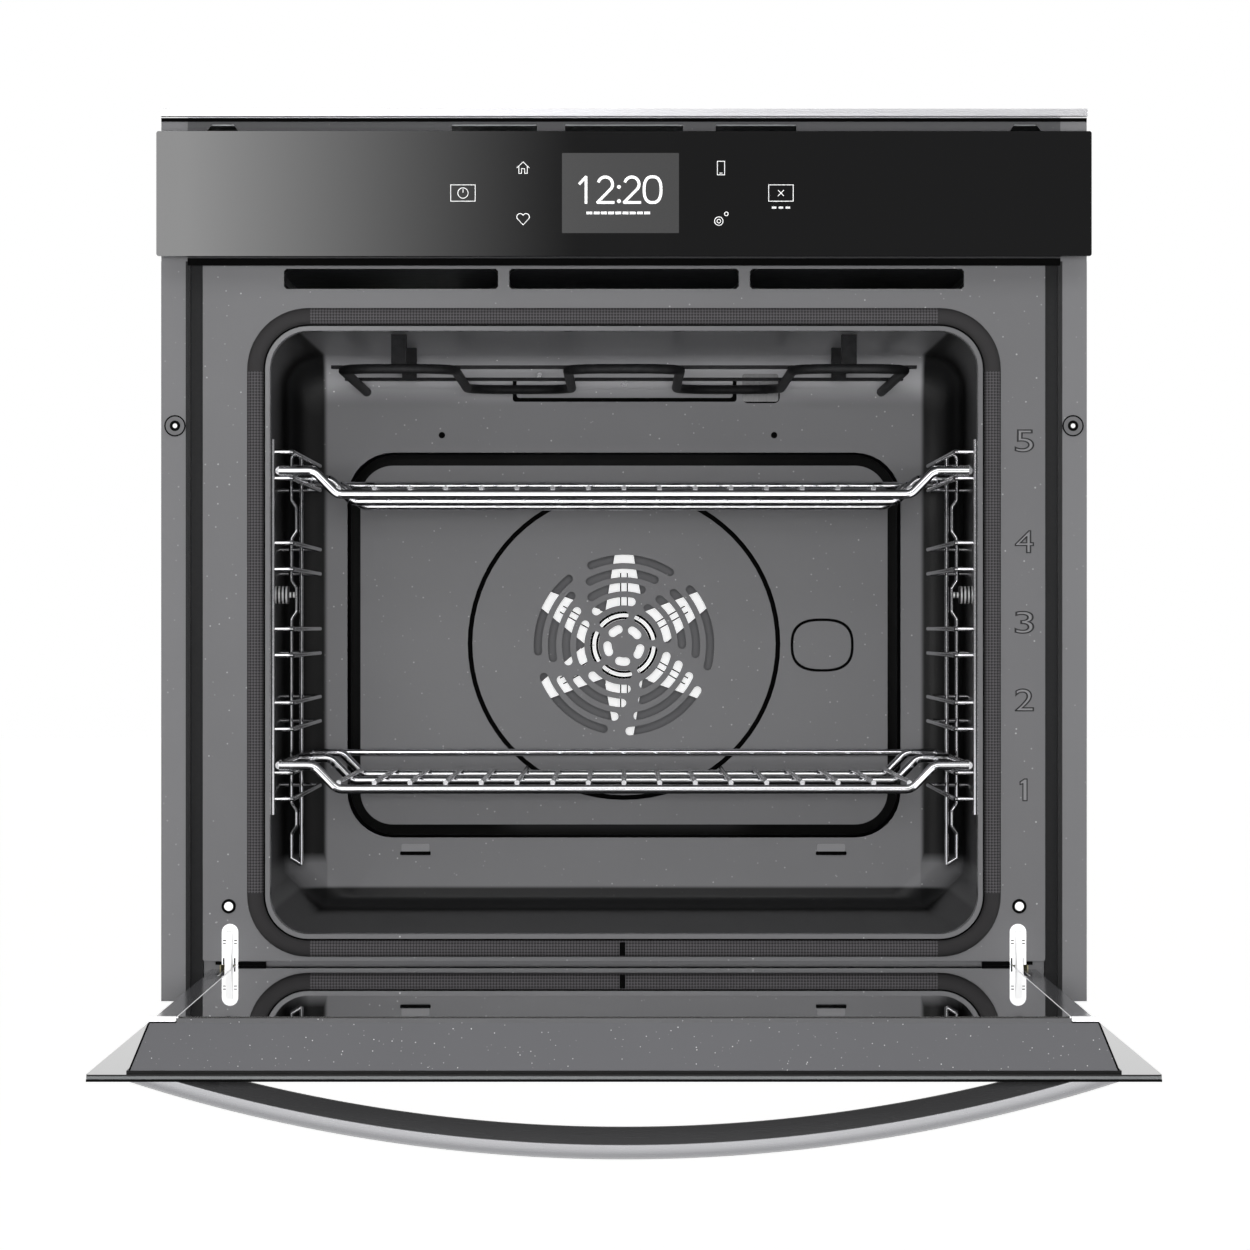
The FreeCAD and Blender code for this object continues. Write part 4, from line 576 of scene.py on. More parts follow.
SEAM = 11
SEAM_RISE = 1.1
SCREW_INSET = 22
SIDE_RIBS = (109, 249, 389)
SIDE_SCREW_DEPTHS, SIDE_SCREW_HEIGHTS = (22, 524), (52, 250, 470)
REAR_RIBS = (130, 250, 370)
MOTOR_SCREW_REACH = 62
ribs, seams, screws, welds = [], [], [], []
side_edges = ((-SIDE_FACE, -SIDE_FACE + SEAM), (SIDE_FACE - SEAM, SIDE_FACE))
screw_columns = (-SIDE_FACE + SCREW_INSET, SIDE_FACE - SCREW_INSET)
for name in ("left", "right"):
    place = faces_of_casing[name]
    ribs.append(pressed(48, 500, 62, 438, 1.6, place, radius=20))
    ribs += [pressed(85, 465, level - 8, level + 8, 3.6, place, radius=7.5) for level in SIDE_RIBS]
    seams.append(pressed(REAR_FACE - SEAM, REAR_FACE - 0.5, 4, TOP_FACE - 2, SEAM_RISE, place, 2, 1))
    screws += [hex_screw(u, v, place) for u in SIDE_SCREW_DEPTHS for v in SIDE_SCREW_HEIGHTS]
    screws += [hex_screw(u, TOP_FACE - 14, place) for u in (120, 300)]
    welds += weld_marks([(20, v) for v in range(90, 560, 40)] + [(u, 20) for u in range(60, 520, 40)], place)
place = faces_of_casing["rear"]
for left, right in ((-250, -84), (84, 250)):
    ribs.append(pressed(left, right, 60, 440, 1.8, place, radius=22))
    middle = (left + right) / 2
    ribs += [pressed(middle - 58, middle + 58, level - 7, level + 7, 3.8, place, radius=6.5)
             for level in REAR_RIBS]
ribs.append(pressed(-62, 62, 60, 150, 1.8, place, radius=16))
ribs.append(bead(0, fan_height, 50, 50, 6, -2.4, REAR_FACE))
seams += [pressed(left, right, 2, TOP_FACE - 1, SEAM_RISE, place, 2, 1) for left, right in side_edges]
seams.append(pressed(side_edges[0][1], side_edges[1][0], TOP_FACE - SEAM, TOP_FACE - 1, SEAM_RISE,
                     place, 2, 1))
screws += [hex_screw(u, v, place) for u in screw_columns for v in (40, 200, 340, 480)]
screws += [hex_screw(u, TOP_FACE - 20, place) for u in (-190, 0, 120)]
for quarter in range(4):
    turn = math.pi * (quarter / 2 + 0.25)
    screws.append(hex_screw(MOTOR_SCREW_REACH * math.cos(turn),
                            fan_height + MOTOR_SCREW_REACH * math.sin(turn), place))
welds += weld_marks([(u, 24) for u in range(-240, 241, 40)], place)
place = faces_of_casing["top"]
for left, right in ((-250, -20), (20, 250)):
    ribs.append(pressed(left, right, 40, 270, 1.8, place, radius=20))
    ribs.append(pressed(left + 30, right - 30, 148, 162, 3.8, place, radius=6.5))
ribs.append(pressed(-230, 230, 488, 506, 3.0, place, radius=8))
seams += [pressed(left, right, 3, REAR_FACE - 1, SEAM_RISE, place, 2, 1) for left, right in side_edges]
screws += [hex_screw(u, v, place) for u in screw_columns for v in (24, 290, 525)]
screws += [hex_screw(0, v, place) for v in (24, 525)]
fitted("casing_pressed_ribs", ribs, zinc_sheet)
fitted("casing_seams", seams + welds, zinc_sheet)
fitted("casing_screws", screws, steel_rivet)
label_metal, tree, shader, place = start("anodised_label_plate", "c9cacc", 0.35, 0.9)
vary(tree, shader.inputs["Roughness"], place, 1 / (0.8 * MM), 0.3, 0.42)
label = pressed(-225, -145, 458, 484, 0.7, faces_of_casing["rear"], radius=2.5, slope=0.4)
fitted("rear_data_plate", [label], label_metal)

# ---- front frame --------------------------------------------------------------------------------
# One enamelled sheet with the mouth, three air outlets, two hinge slots and raised level numbers.
# It is screwed to the casing's front edges, and a second collar lines the mouth behind the gasket.
frame_enamel = speckled_enamel("speckled_frame_enamel", "6f6f71")
dress(frame_enamel, "front_frame")
collar_enamel = speckled_enamel("collar_enamel", "727274", "cccccc", 0.22)
dress(collar_enamel, "cavity_collar")
frame_low, frame_high = corners_of("front_frame")
frame_face = frame_low.y
NUMBER_X = 258.2
NUMBER_TALL, NUMBER_WIDE = 14, 11.5
LEVEL_HEIGHTS = {"5": 382, "4": 317, "3": 265, "2": 215, "1": 157}


def lettering(name, words, x, y, z, tall, wide, material, outline=0.0, thick=0.0):
    """A number on the frame's face, fitted to a height and a width in millimetres."""
    face = bpy.data.curves.new(name, "FONT")
    face.body = words
    face.align_x, face.align_y = "CENTER", "CENTER"
    face.extrude = thick * MM
    probe = bpy.data.objects.new(name, face)
    scene.collection.objects.link(probe)
    bpy.context.view_layer.update()
    natural = probe.dimensions.copy()
    face.size = tall * MM / natural.y
    stretch = wide * MM / (natural.x * face.size)
    if outline:
        face.fill_mode = "NONE"
        face.bevel_depth = outline * MM
        face.bevel_resolution = 2
    bpy.context.view_layer.update()
    flat = bpy.data.meshes.new_from_object(probe.evaluated_get(bpy.context.evaluated_depsgraph_get()))
    bpy.data.objects.remove(probe)
    spread = [corner.co.copy() for corner in flat.vertices]
    centre = Vector(((min(c.x for c in spread) + max(c.x for c in spread)) / 2,
                     (min(c.y for c in spread) + max(c.y for c in spread)) / 2, 0))
    flat.transform(Matrix.Translation(-centre))
    flat.transform(Matrix.Diagonal((stretch, 1, 1, 1)))
    flat.transform(Matrix.Rotation(math.pi / 2, 4, "X"))
    flat.transform(Matrix.Translation(Vector((x, y, z)) * MM))
    flat.materials.clear()
    flat.materials.append(material)
    made = bpy.data.objects.new(name, flat)
    scene.collection.objects.link(made)
    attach(made, "oven")


def stroke(points, wide, face):
    """A thin line along x and z points on an upright face, as one flat strip for each stretch."""
    parts = []
    for (x1, z1), (x2, z2) in zip(points, points[1:]):
        along = Vector((x2 - x1, z2 - z1))
        if along.length == 0:
            continue
        along.normalize()
        side = Vector((-along.y, along.x)) * wide / 2
        tip = along * wide / 4
        ends = ((x1 - tip.x, z1 - tip.y, 1), (x1 - tip.x, z1 - tip.y, -1),
                (x2 + tip.x, z2 + tip.y, -1), (x2 + tip.x, z2 + tip.y, 1))
        outline = [(x + edge * side.x, z + edge * side.y) for x, z, edge in ends]
        parts.append(plate(outline, face - 0.14, face - 0.02))
    return parts


# The raised numbers have black outlines, painted shade along their edges, and lighter faces, painted light
# on their tops.
number_shade_outline = speckled_enamel("number_edge_enamel", "1c1c1e", "3c3c3c")
number_lit_face = speckled_enamel("number_face_enamel", "868688", "a0a0a0")
ONE_OUTLINE = ((-2.8, 3.4), (-2.8, 5.2), (0, 7), (1.7, 7), (1.7, -7), (-1, -7), (-1, 4), (-2.8, 3.4))
for digit, height in LEVEL_HEIGHTS.items():
    if digit == "1":
        one = [(NUMBER_X + x, height + z) for x, z in ONE_OUTLINE]
        fitted("level_number_1", stroke(one, 0.8, frame_face), number_shade_outline)
        fitted("level_face_1", [plate(one[:-1], frame_face - 0.05, frame_face)], number_lit_face)
        continue
    lettering(f"level_number_{digit}", digit, NUMBER_X, frame_face - 0.05, height, NUMBER_TALL,
              NUMBER_WIDE, number_shade_outline, outline=0.4)
    lettering(f"level_face_{digit}", digit, NUMBER_X, frame_face - 0.02, height, NUMBER_TALL - 0.8,
              NUMBER_WIDE - 0.8, number_lit_face, thick=0.02)

VENT_SPANS = ((-74, 74), (81.2, 219.2), (-219.2, -81.2))
VENT_TALL, VENT_ROUND, VENT_SLIVER = 13, 6.4, 1.6
vent_low = frame_high.z - 16.5
# Black plates fill the outlets' rounded corners: painted shade that makes the slots look square-cornered.
vent_corner_shade_plates = []
for left, right in VENT_SPANS:
    for side, edge in ((-1, left), (1, right)):
        for rise, level in ((-1, vent_low), (1, vent_low + VENT_TALL)):
            centre_x, centre_z = edge - side * VENT_ROUND, level - rise * VENT_ROUND
            round_edge = [(centre_x + side * VENT_ROUND * math.cos(math.radians(angle)),
                           centre_z + rise * VENT_ROUND * math.sin(math.radians(angle)))
                          for angle in range(0, 91, 10)]
            tip = [(edge - side * VENT_SLIVER, level), (edge, level - rise * VENT_SLIVER)]
            vent_corner_shade_plates.append(plate(round_edge + tip, frame_face - 0.1, frame_face + 0.2))
fitted("vent_corner_shade", vent_corner_shade_plates, black_and_painted_shade)

RAIL_SPANS = ((-246, 246), (-frame_high.x, -261.5), (261.5, frame_high.x))
rail_parts = [plate(rectangle(left, right, 20, frame_low.z + 4, 0.5), 12.2, 13.2)
              for left, right in RAIL_SPANS]
fitted("lower_front_rail", rail_parts, frame_enamel)

arm_high = corners_of("hinge_arms")[1]
arm_middle = arm_high.x - 2
SLOT_HALF, ARM_HALF = 5.3, 2.1
SLOT_TOP, SLOT_FOOT = 70.6, 44.3
ARM_TURN = math.acos(ARM_HALF / SLOT_HALF)
LATCH_INNER, LATCH_TOP = 230.6, 46.4
SCREW_X, SCREW_HEIGHT = 254.8, 82
plate_face = frame_face - 0.7


def slot_crown(middle, first, last, steps, across=1):
    """Points along the round top of a hinge slot, from one turn to another."""
    turns = [first + (last - first) * step / steps for step in range(steps + 1)]
    return [(middle + across * SLOT_HALF * math.cos(turn), SLOT_TOP - SLOT_HALF + SLOT_HALF * math.sin(turn))
            for turn in turns]


slot_plates, screw_cups, slot_marks, latch_bars = [], [], [], []
for side in (-1, 1):
    middle = side * arm_middle
    for across in (-1, 1):
        foot = [(middle + across * ARM_HALF, SLOT_FOOT), (middle + across * SLOT_HALF, SLOT_FOOT)]
        slot_plates.append(plate(foot + slot_crown(middle, 0, ARM_TURN, 8, across), plate_face, frame_face))
        left, right = sorted((middle + across * (ARM_HALF + 0.5), middle + across * (SLOT_HALF - 0.8)))
        marks = [rectangle(left, right, height, height + 0.6) for height in (57.6, 59.6)]
        marks.append(rectangle(left, left + 0.9, SLOT_FOOT, 48.6))
        slot_marks += [plate(mark, plate_face - 0.2, plate_face) for mark in marks]
    foot = [(middle - ARM_HALF, arm_high.z + 0.3), (middle + ARM_HALF, arm_high.z + 0.3)]
    crown = slot_crown(middle, ARM_TURN, math.pi - ARM_TURN, 6)
    slot_plates.append(plate(foot + crown, plate_face, frame_face))
    for near, far, proud in ((LATCH_INNER, arm_middle - SLOT_HALF - 0.2, 5),
                             (arm_middle + SLOT_HALF, arm_middle + SLOT_HALF + 4, 2)):
        left, right = sorted((side * near, side * far))
        latch_bars.append(plate(rectangle(left, right, SLOT_FOOT, LATCH_TOP, 0.3),
                                frame_face - proud, frame_face - 0.3))
    screw_cups.append(ring(side * SCREW_X, SCREW_HEIGHT, 2.9, 4.6, -0.35, frame_face))
fitted("screw_recess_shade", screw_cups, black_and_painted_shade)
fitted("hinge_slot_marks", slot_marks, black_and_painted_shade)
fitted("hinge_latch_bars", latch_bars, black_and_painted_shade)

# ---- door gasket --------------------------------------------------------------------------------
# A hollow silicone-cored tube in a woven glass-fibre sleeve, held round the mouth by small hooks.
# The sleeve's yarns cross at 45 degrees; they are stretched smooth at the corners.
YARN = 1.35
GASKET_WIDE, GASKET_ROUND = 10.8, 39.7
STRAIGHT_X, STRAIGHT_Z, MOUTH_MIDDLE = 0.202, 0.168, 0.2585
gasket_low, gasket_high = corners_of("door_gasket")
woven_gasket, tree, shader, place = start("woven_glass_fibre_sleeve", "3e3c3d", 0.8)
turned = add(tree, "ShaderNodeMapping", {"Vector": place, "Rotation": (0, math.radians(45), 0),
                                         "Scale": (1, 0, 1)})
yarns = add(tree, "ShaderNodeTexChecker", {"Vector": turned.outputs[0], "Scale": 1 / (YARN * MM)})
axes = add(tree, "ShaderNodeSeparateXYZ", {"Vector": place})
across = add(tree, "ShaderNodeMath", {0: axes.outputs["X"]}, operation="ABSOLUTE")
side_part = add(tree, "ShaderNodeMath", {0: across.outputs[0], 1: STRAIGHT_X}, operation="LESS_THAN")
height_part = add(tree, "ShaderNodeMath", {0: axes.outputs["Z"], 1: MOUTH_MIDDLE}, operation="SUBTRACT")
height_far = add(tree, "ShaderNodeMath", {0: height_part.outputs[0]}, operation="ABSOLUTE")
near_middle = add(tree, "ShaderNodeMath", {0: height_far.outputs[0], 1: STRAIGHT_Z}, operation="LESS_THAN")
straight_run = add(tree, "ShaderNodeMath", {0: side_part.outputs[0], 1: near_middle.outputs[0]},
                   operation="MAXIMUM")
weave = add(tree, "ShaderNodeMath", {0: yarns.outputs["Fac"], 1: straight_run.outputs[0]},
            operation="MULTIPLY")
tree.links.new(mixed(tree, weave.outputs[0], "2f2e2f", "59575a"), shader.inputs["Base Color"])
relief(tree, shader, weave.outputs[0], 0.6, 0.0004)
loops = []
for turn in range(0, 181, 20):
    angle = math.radians(turn)
    inset = GASKET_WIDE / 2 * (1 - math.cos(angle))
    rise = (gasket_high.y - gasket_low.y) * math.sin(angle) ** 0.6
    loops.append(rounded_loop(gasket_high.x - inset, gasket_low.z + inset, gasket_high.z - inset,
                              GASKET_ROUND - inset, gasket_high.y - rise, steps=14))
gasket = fitted("gasket_sleeve", [skin(loops, wrapped=True)], woven_gasket, bend=60)
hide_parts("door_gasket")
lip_loops = []
for grow, y in ((-0.4, 0.9), (-0.4, 0.3), (0.9, 0.3), (0.9, 0.9)):
    inset = GASKET_WIDE + grow
    lip_loops.append(rounded_loop(gasket_high.x - inset, gasket_low.z + inset, gasket_high.z - inset,
                                  GASKET_ROUND - inset, y, steps=14))
fitted("collar_joint_line", [skin(lip_loops, wrapped=True)], black_and_painted_shade)
JOINT_LEFT, JOINT_RIGHT = -2.8, 0.8
joint = plate(rectangle(JOINT_LEFT, JOINT_RIGHT, gasket_low.z + 1, gasket_low.z + GASKET_WIDE - 1, 0.4),
              gasket_low.y - 0.3, gasket_low.y + 1)
fitted("gasket_joint_sleeve", [joint], black_and_painted_shade)

# ---- flange, seals and upper cross-member -------------------------------------------------------
# Painted steel strips lie on the cabinet's front edges; a grommet takes each fixing screw.
# Extruded rubber lips close the gaps beside the frame, and small metal and nylon parts follow.
satin_paint = speckled_enamel("satin_flange_paint", "78787a", "a0a0a0", 0.45)
dress(satin_paint, "flange_trims")
# The cross-member is a darker copy of the flange paint: painted shade under the top trim.
shaded_paint = speckled_enamel("crossmember_paint_painted_shade", "4c4c4e", "606060", 0.5)
dress(shaded_paint, "upper_crossmember")


def moulded(name, code, roughness):
    """Nylon with the fine grain of its spark-eroded mould."""
    material, tree, shader, place = start(name, code, roughness)
    spark = add(tree, "ShaderNodeTexNoise", {"Vector": place, "Scale": 1 / (0.7 * MM), "Detail": 2})
    relief(tree, shader, spark.outputs["Fac"], 0.2, 0.0002)
    return material


black_plastic = moulded("moulded_black_nylon", "17171a", 0.5)
dress(black_plastic, "control_housing", "display_module", "terminal_box", "cable_gland", "glass_rails")
COVER_RISE = 4.5
terminal_low, terminal_high = corners_of("terminal_box")
cover_plate = pressed(terminal_low.x - 4, terminal_high.x + 4, terminal_low.z - 4, terminal_high.z + 4,
                      COVER_RISE, faces_of_casing["rear"], radius=7, slope=1.6)
cover_screws = [hex_screw(u, terminal_low.z + 4,
                          lambda u, v, rise: (u, REAR_FACE + COVER_RISE - 0.1 + rise, v))
                for u in (terminal_low.x + 6, terminal_high.x - 6)]
fitted("terminal_cover", [cover_plate], black_plastic)
fitted("terminal_cover_screws", cover_screws, steel_rivet)
dress(moulded("grey_nylon_grommet", "6a6a6c", 0.4), "flange_grommets")
GROMMET_HEIGHT, GROMMET_INSET = 391.5, 6.75
grommet_low, grommet_high = corners_of("flange_grommets")
cups = [ring(side * (grommet_high.x - GROMMET_INSET), GROMMET_HEIGHT, inner, outer,
             grommet_low.y - 0.15, grommet_low.y + 0.25)
        for side in (-1, 1) for inner, outer in ((1.5, 3.4), (6.0, 6.9))]
fitted("grommet_shadow_rings", cups, black_and_painted_shade)
seal_rubber, tree, shader, place = start("epdm_seal", "2c2c2d", 0.7)
mottle(tree, shader, place, 1 / (3 * MM), "151516", "202021")
dress(seal_rubber, "side_seals")
flange_low, flange_high = corners_of("flange_trims")
seal_low, seal_high = corners_of("side_seals")
member_low, member_high = corners_of("upper_crossmember")
LIP_REACH = 2.2
# The lips are rubber strips over the flange's inner edges: partly the seals' real lips, partly painted shade
# of the flange's folded edge. The feet continue the seals downwards.
lips, feet, strips = [], [], []
for side in (-1, 1):
    inner, outer = sorted((side * (seal_high.x - 0.5), side * (seal_high.x + LIP_REACH)))
    lips.append(plate(rectangle(inner, outer, flange_low.z, flange_high.z),
                      flange_low.y - 0.3, flange_low.y))
    inner, outer = sorted((side * frame_high.x, side * (seal_high.x + 0.8)))
    feet.append(plate(rectangle(inner, outer, flange_low.z, seal_low.z), seal_low.y, seal_high.y))
    inner, outer = sorted((side * member_high.x, side * flange_high.x))
    strips.append(plate(rectangle(inner, outer, flange_high.z, member_high.z), -1.9, -0.7))
fitted("side_seal_feet_and_fold_shade", lips + feet, seal_rubber)
fitted("flange_upper_ends", strips, satin_paint)
# A black strip under the top trim: painted shadow in the gap beneath it.
under_trim_shadow = plate(rectangle(-flange_high.x, flange_high.x, member_high.z - 2.4, member_high.z),
                   member_low.y - 0.6, member_low.y - 0.1)
fitted("trim_shadow_strip", [under_trim_shadow], black_and_painted_shade)
brushed_steel, tree, shader, place = start("brushed_stainless_steel", "d9d9dc", 0.3, 1.0)
drawn = add(tree, "ShaderNodeMapping", {"Vector": place, "Scale": (4, 1500, 1500)})
vary(tree, shader.inputs["Roughness"], drawn.outputs[0], 1, 0.22, 0.4)
dress(brushed_steel, "top_trim")
zinc_painted_glow, tree, shader, place = start("bright_zinc_plated_steel", "f2f2f2", 0.4, 0.2)
mottle(tree, shader, place, 1 / (4 * MM), "e6e6e8", "fbfbfb")
# A faint glow: painted light that keeps the hinge arms, frame screws, slot plates, glass clips and pane edge
# strips white.
shader.inputs["Emission Color"].default_value = linear("ffffff")
shader.inputs["Emission Strength"].default_value = 0.35
dress(zinc_painted_glow, "hinge_arms", "frame_screws")
# The plates behind the hinge slots glow white: painted light filling the slots.
fitted("hinge_slot_plates", slot_plates, zinc_painted_glow)
dress(steel_rivet, "hinge_pins", "hinge_springs", "handle_screws", "temperature_probe", "fan_shaft",
      "blower_shaft")
knurled_nut, tree, shader, place = start("knurled_nickel_nut", "f0f0f0", 0.35, 0.3)
# Black valleys and white ridges: painted shade in the knurl's grooves and painted highlights on its ridges.
ridges = add(tree, "ShaderNodeTexWave", {"Vector": place, "Scale": 1 / (8 * MM), "Distortion": 0.0})
knurl_valley_shade = add(tree, "ShaderNodeMapRange", {"Value": ridges.outputs["Fac"], "From Min": 0.35, "From Max": 0.6})
tree.links.new(mixed(tree, knurl_valley_shade.outputs[0], "0a0a0a", "f6f6f6"), shader.inputs["Base Color"])
dress(knurled_nut, "ladder_nuts")
drum_metal, tree, shader, place = start("bare_aluminium_drum", "b8b8ba", 0.4, 0.9)
vary(tree, shader.inputs["Roughness"], place, 1 / (2 * MM), 0.34, 0.5)
dress(drum_metal, "blower_impeller")

# ---- control panel ------------------------------------------------------------------------------
# Toughened black glass with a display behind it, bonded to a moulded nylon housing.
# The symbols are back-lit, the time is white figures, and plain bars stand for the words.
black_glass, tree, shader, place = start("back_printed_glass", "060607", 0.02)
shader.inputs["IOR"].default_value = 1.5
vary(tree, shader.inputs["Roughness"], place, 12, 0.015, 0.035)
dress(black_glass, "control_glass", "door_outer_glass")
glass_low = corners_of("control_glass")[0]
print_face = glass_low.y
lit_white, tree, shader, place = start("lit_symbol", "e8e8e8", 0.5)
shader.inputs["Emission Color"].default_value = linear("ffffff")
vary(tree, shader.inputs["Emission Strength"], place, 1 / (1 * MM), 0.42, 0.5, 1)
display_glow, tree, shader, place = start("display_background", "1a1a1b", 0.12)
shader.inputs["Emission Color"].default_value = linear("ffffff")
vary(tree, shader.inputs["Emission Strength"], place, 1 / (0.5 * MM), 0.045, 0.06, 1)
PANEL_MIDDLE = 538.5
BOX_WIDE, BOX_TALL = 15.6, 10.4
POWER_X, STOP_X = -102.6, 100
WINDOW_LEFT, WINDOW_RIGHT, WINDOW_LOW, WINDOW_HIGH = -39.5, 35, 513, 564
window = plate(rectangle(WINDOW_LEFT, WINDOW_RIGHT, WINDOW_LOW, WINDOW_HIGH, 0.6),
               print_face - 0.12, print_face)
fitted("display_window", [window], display_glow)
lower_edge = plate(rectangle(-member_high.x, member_high.x, frame_high.z - 1.8, glass_low.z + 1), -3.4, -2.2)
fitted("housing_lower_edge", [lower_edge], black_and_painted_shade)


def printed(points, wide=0.42):
    """A thin line printed on the panel's glass."""
    return stroke(points, wide, print_face)


def arc(x, z, radius, first, last, steps=18):
    """Points on an arc from one angle to another, in degrees."""
    angles = [math.radians(first + (last - first) * step / steps) for step in range(steps + 1)]
    return [(x + radius * math.cos(angle), z + radius * math.sin(angle)) for angle in angles]


def box_line(x, z, wide, tall):
    """Points round a rectangle about its middle, back to the first."""
    half, rise = wide / 2, tall / 2
    return [(x - half, z - rise), (x + half, z - rise), (x + half, z + rise), (x - half, z + rise),
            (x - half, z - rise)]


CLOCK_FOOT, CLOCK_TOP, CLOCK_LINE = 532.5, 548.8, 1.75


def clock_two(middle):
    """The figure 2: a bowl, a slanting neck and a flat foot."""
    return ([(middle + x, z) for x, z in arc(0, CLOCK_TOP - 4.7, 4.6, 160, -38)]
            + [(middle - 5, CLOCK_FOOT), (middle + 5.4, CLOCK_FOOT)])


ZERO_X, ZERO_HALF, ZERO_RISE = 18.2, 5.4, 8.2
clock_middle = (CLOCK_FOOT + CLOCK_TOP) / 2
clock_zero = []
for step in range(41):
    cosine, sine = math.cos(math.tau * step / 40), math.sin(math.tau * step / 40)
    clock_zero.append((ZERO_X + math.copysign(abs(cosine) ** 0.8, cosine) * ZERO_HALF,
                       clock_middle + math.copysign(abs(sine) ** 0.8, sine) * ZERO_RISE))
clock_parts = [[(-28.4, CLOCK_TOP - 4.4), (-24.2, CLOCK_TOP), (-24.2, CLOCK_FOOT - 0.4)], clock_two(-11.9),
               clock_two(5), clock_zero]
figures = [strip for points in clock_parts for strip in printed(points, CLOCK_LINE)]
figures += [disc(-3.2, height, 1.25, print_face - 0.14, print_face - 0.02) for height in (533.3, 542.4)]
fitted("clock_figures", figures, lit_white)

symbols = {
    "power_symbol": printed(box_line(POWER_X, PANEL_MIDDLE, BOX_WIDE, BOX_TALL))
    + printed(arc(POWER_X, PANEL_MIDDLE, 3.3, 0, 360))
    + printed([(POWER_X, PANEL_MIDDLE + 0.3), (POWER_X, PANEL_MIDDLE + 2.4)]),
    "home_symbol": printed([(-68.2, 554.6), (-64.3, 558.3), (-60.4, 554.6)])
    + printed([(-67, 555.6), (-67, 551), (-65.3, 551), (-65.3, 554), (-63.3, 554), (-63.3, 551),
              (-61.6, 551), (-61.6, 555.6)]),
    "heart_symbol": printed([(-64.3, 518.2), (-67.8, 522)] + arc(-66.2, 523.3, 2.1, 210, 30)
                           + arc(-62.4, 523.3, 2.1, 150, -30) + [(-64.3, 518.2)]),
    "phone_symbol": printed(box_line(61.8, 554.4, 4.6, 8.6)) + printed([(61, 551.2), (62.6, 551.2)]),
    "gear_symbol": printed(arc(60.4, 520.6, 2.7, 0, 360)) + printed(arc(60.4, 520.6, 1.2, 0, 360, 10))
    + printed(arc(65.2, 525.2, 1.2, 0, 360, 12)),
    "stop_symbol": printed(box_line(STOP_X, PANEL_MIDDLE, BOX_WIDE, BOX_TALL))
    + printed([(STOP_X - 1.8, PANEL_MIDDLE - 1.8), (STOP_X + 1.8, PANEL_MIDDLE + 1.8)])
    + printed([(STOP_X - 1.8, PANEL_MIDDLE + 1.8), (STOP_X + 1.8, PANEL_MIDDLE - 1.8)]),
    "stop_mark": printed([(94.5 + 2.2 * number, 529.2) for number in range(6)], 1.2)[::2],
    "date_mark": [part for number in range(9)
                  for part in printed([(-23.5 + 4.6 * number, 525.8), (-20.6 + 4.6 * number, 525.8)], 1.7)],
}
for name, parts in symbols.items():
    fitted(name, parts, lit_white)

# ---- circuit boards, insulation and lamp --------------------------------------------------------
# Green solder-masked boards behind the panel and on the casing, a blanket of glass wool
# strapped round the cavity, and a ribbed lamp cover of pressed glass that screws into its socket.
board_green, tree, shader, place = start("solder_mask", "2f6b43", 0.35)
tracks = add(tree, "ShaderNodeTexVoronoi", {"Vector": place, "Scale": 1 / (4 * MM)}, distance="CHEBYCHEV")
etched = add(tree, "ShaderNodeMapRange", {"Value": tracks.outputs["Distance"], "From Min": 0.3,
                                          "From Max": 0.4})
tree.links.new(mixed(tree, etched.outputs[0], "2a5f3b", "3f8555"), shader.inputs["Base Color"])
dress(board_green, "control_board", "power_board")
glass_wool, tree, shader, place = start("glass_wool_blanket", "cfc596", 0.95)
fibres = mottle(tree, shader, place, 1 / (2 * MM), "b3a877", "e4dcb6", 5)
relief(tree, shader, fibres, 0.8, 0.002)
dress(glass_wool, "insulation")
lamp_pressed, tree, shader, place = start("pressed_lamp_glass", "8f8f90", 0.12)
ribbing = add(tree, "ShaderNodeTexWave", {"Vector": place, "Scale": 1 / (12 * MM)})
relief(tree, shader, ribbing.outputs["Fac"], 0.4, 0.001)
dress(lamp_pressed, "lamp_glass", "lamp_bulb")

# ---- shelf supports and racks -------------------------------------------------------------------
# Bright chromium-plated steel wire, bent and spot-welded before plating.
# The supports hang on knurled nuts, and the racks slide on their pairs of runner wires.
chrome_wire, tree, shader, place = start("chromium_plated_wire", "e9e9ec", 0.09, 1.0)
vary(tree, shader.inputs["Roughness"], place, 1 / (3 * MM), 0.05, 0.14)
dress(chrome_wire, "ladder_left", "ladder_right", "rack_upper", "rack_lower")

# ---- door ---------------------------------------------------------------------------------------
# An enamelled pan on the outer glass holds two more panes; the inner one lies flush on its rim.
# Bright clips hold that pane's corners, and black silicone seals the pan to the outer glass.
pan_enamel = speckled_enamel("speckled_pan_enamel", "67676a", "ffffff", 0.14, 3.4)
# The rim is a darker copy of the pan's enamel: painted shade that evens out the light on its upright lip.
rim_enamel = speckled_enamel("pan_rim_painted_shade", "58585a", "e0e0e0", 0.2, 3.4)
dress(pan_enamel, "door_pan")
door_glass, tree, shader, place = start("heat_reflecting_float_glass", "6a6c6e", 0.01)
shader.inputs["IOR"].default_value = 1.52
shader.inputs["Transmission Weight"].default_value = 1.0
shader.inputs["Coat Weight"].default_value = 1.0
shader.inputs["Coat Roughness"].default_value = 0.01
vary(tree, shader.inputs["Roughness"], place, 15, 0.0, 0.02)
dress(door_glass, "door_inner_glass", "door_middle_glass")

